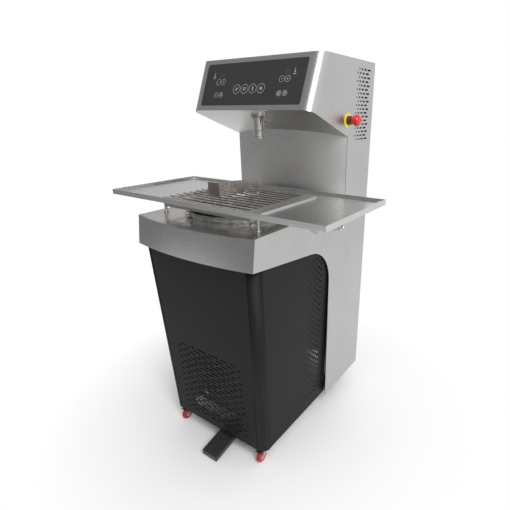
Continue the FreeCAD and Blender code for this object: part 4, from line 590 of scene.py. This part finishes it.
def glass_marks():
    big_icons()
    small_icons()
    for x, s in THERMOMETERS:
        thermometer(x, s)
    new_piece("glass_icons", MARKS["verts"], MARKS["faces"], PRINT_PAINTED_GLOW, "chassis")
    display("display_left", *DISPLAYS[0])
    display("display_right", *DISPLAYS[1])


# ---------------------------------------------------------------- floor and light
DARKEST = Vector((-0.63, -0.777, 0.0))      # towards the studio's darkest end
# share of the way from there to the opposite end, and the grey there
STUDIO_GREYS = ((0.0, 0.30), (0.25, 0.37), (0.5, 0.66), (0.75, 0.88), (1.0, 0.94))
KEY_PLACE = (2.3, -1.5, 2.9)
KEY_AIM = (0, 0, 1.0)
KEY_SIZE = (0.9, 1.8)
KEY_POWER = 70              # watts
FLOOR_GREY = 0.96
FLOOR_REACH = 3.2
FLOOR_STEPS = 96
FLOOR_NEAR = 0.30           # the floor is plain up to here
FLOOR_FAR = 0.95            # and white from here on
FLOOR_DROP = 0.0005         # below the wheels, so that nothing lies in its plane


def floor_plane():
    """Pale floor that keeps the soft shadow near the machine and runs out to white further off."""
    mesh = bpy.data.meshes.new("floor")
    turns = [math.tau * i / FLOOR_STEPS for i in range(FLOOR_STEPS)]
    ring = [(FLOOR_REACH * math.cos(turn), FLOOR_REACH * math.sin(turn), 0) for turn in turns]
    mesh.from_pydata(ring, [], [tuple(range(FLOOR_STEPS))])
    plane = bpy.data.objects.new("floor", mesh)
    SCENE.collection.objects.link(plane)
    material, tree, shader = new_material("floor")
    shader.inputs["Base Color"].default_value = as_colour(FLOOR_GREY)
    shader.inputs["Roughness"].default_value = 0.8
    shader.inputs["Specular IOR Level"].default_value = 0.0
    white = tree.nodes.new("ShaderNodeEmission")
    path = tree.nodes.new("ShaderNodeLightPath")
    coords = tree.nodes.new("ShaderNodeTexCoord")
    distance = tree.nodes.new("ShaderNodeVectorMath")
    distance.operation = "LENGTH"
    fade = tree.nodes.new("ShaderNodeMapRange")
    fade.inputs["From Min"].default_value = FLOOR_NEAR
    fade.inputs["From Max"].default_value = FLOOR_FAR
    fade.inputs["To Min"].default_value = 0.0
    seen = [path.outputs[name] for name in ("Is Camera Ray", "Is Glossy Ray", "Is Transmission Ray")]
    total = seen[0]
    for more in seen[1:]:
        add = tree.nodes.new("ShaderNodeMath")
        add.operation = "MAXIMUM"
        tree.links.new(total, add.inputs[0])
        tree.links.new(more, add.inputs[1])
        total = add.outputs[0]
    share = tree.nodes.new("ShaderNodeMath")
    share.operation = "MULTIPLY"
    mix = tree.nodes.new("ShaderNodeMixShader")
    tree.links.new(coords.outputs["Object"], distance.inputs[0])
    tree.links.new(distance.outputs["Value"], fade.inputs["Value"])
    tree.links.new(fade.outputs["Result"], share.inputs[0])
    tree.links.new(total, share.inputs[1])
    tree.links.new(share.outputs[0], mix.inputs["Fac"])
    tree.links.new(shader.outputs["BSDF"], mix.inputs[1])
    tree.links.new(white.outputs["Emission"], mix.inputs[2])
    tree.links.new(mix.outputs["Shader"], tree.nodes["Material Output"].inputs["Surface"])
    mesh.materials.append(material)
    plane.location = (0, 0, -FLOOR_DROP)


def area_light(name, place, aim, size, power):
    data = bpy.data.lights.new(name, "AREA")
    data.shape = "RECTANGLE"
    data.size, data.size_y = size
    data.energy = power
    lamp = bpy.data.objects.new(name, data)
    SCENE.collection.objects.link(lamp)
    lamp.location = place
    lamp.rotation_euler = (Vector(aim) - Vector(place)).to_track_quat("-Z", "Y").to_euler()


def world_light():
    """White behind the machine, falling to a grey studio in front; pure white for the camera."""
    world = bpy.data.worlds.new("studio")
    SCENE.world = world
    world.use_nodes = True
    tree = world.node_tree
    background = tree.nodes["Background"]
    coords = tree.nodes.new("ShaderNodeTexCoord")
    facing = tree.nodes.new("ShaderNodeVectorMath")
    facing.operation = "DOT_PRODUCT"
    facing.inputs[1].default_value = -DARKEST
    tree.links.new(coords.outputs["Generated"], facing.inputs[0])
    curve = tree.nodes.new("ShaderNodeValToRGB")
    while len(curve.color_ramp.elements) < len(STUDIO_GREYS):
        curve.color_ramp.elements.new(0.5)
    for element, (place, grey) in zip(curve.color_ramp.elements, STUDIO_GREYS):
        element.position = place
        element.color = as_colour(grey)
    spread = tree.nodes.new("ShaderNodeMapRange")
    spread.inputs["From Min"].default_value = -1.0
    tree.links.new(facing.outputs["Value"], spread.inputs["Value"])
    tree.links.new(spread.outputs["Result"], curve.inputs["Fac"])
    path = tree.nodes.new("ShaderNodeLightPath")
    mix = tree.nodes.new("ShaderNodeMix")
    mix.data_type = "RGBA"
    mix.inputs["B"].default_value = (1, 1, 1, 1)
    tree.links.new(path.outputs["Is Camera Ray"], mix.inputs["Factor"])
    tree.links.new(curve.outputs["Color"], mix.inputs["A"])
    tree.links.new(mix.outputs["Result"], background.inputs["Color"])


# ---------------------------------------------------------------- camera
# fitted to edges and corners of the photograph
CAMERA_PLACE = (0.96348, -1.16987, 1.26737)
CAMERA_YAW = 33.511         # degrees
CAMERA_PITCH = 21.817       # looking down
CAMERA_ROLL = 0.156
CAMERA_SENSOR = 36.0        # mm
CAMERA_LENS = 27.427        # mm
CAMERA_SHIFT = (-0.0875, 0.0276)


def turned(degrees, axis):
    return Matrix.Rotation(math.radians(degrees), 4, axis)


def camera():
    data = bpy.data.cameras.new("camera")
    data.sensor_width = CAMERA_SENSOR
    data.lens = CAMERA_LENS
    data.shift_x, data.shift_y = CAMERA_SHIFT
    cam = bpy.data.objects.new("camera", data)
    SCENE.collection.objects.link(cam)
    turn = turned(CAMERA_YAW, "Z") @ turned(90 - CAMERA_PITCH, "X") @ turned(CAMERA_ROLL, "Z")
    cam.matrix_world = Matrix.Translation(CAMERA_PLACE) @ turn
    SCENE.camera = cam


dress_nodes()
cabinet_skin()
glass_marks()
floor_plane()
world_light()
area_light("key", KEY_PLACE, KEY_AIM, KEY_SIZE, KEY_POWER)
camera()
SCENE.view_settings.view_transform = "Standard"
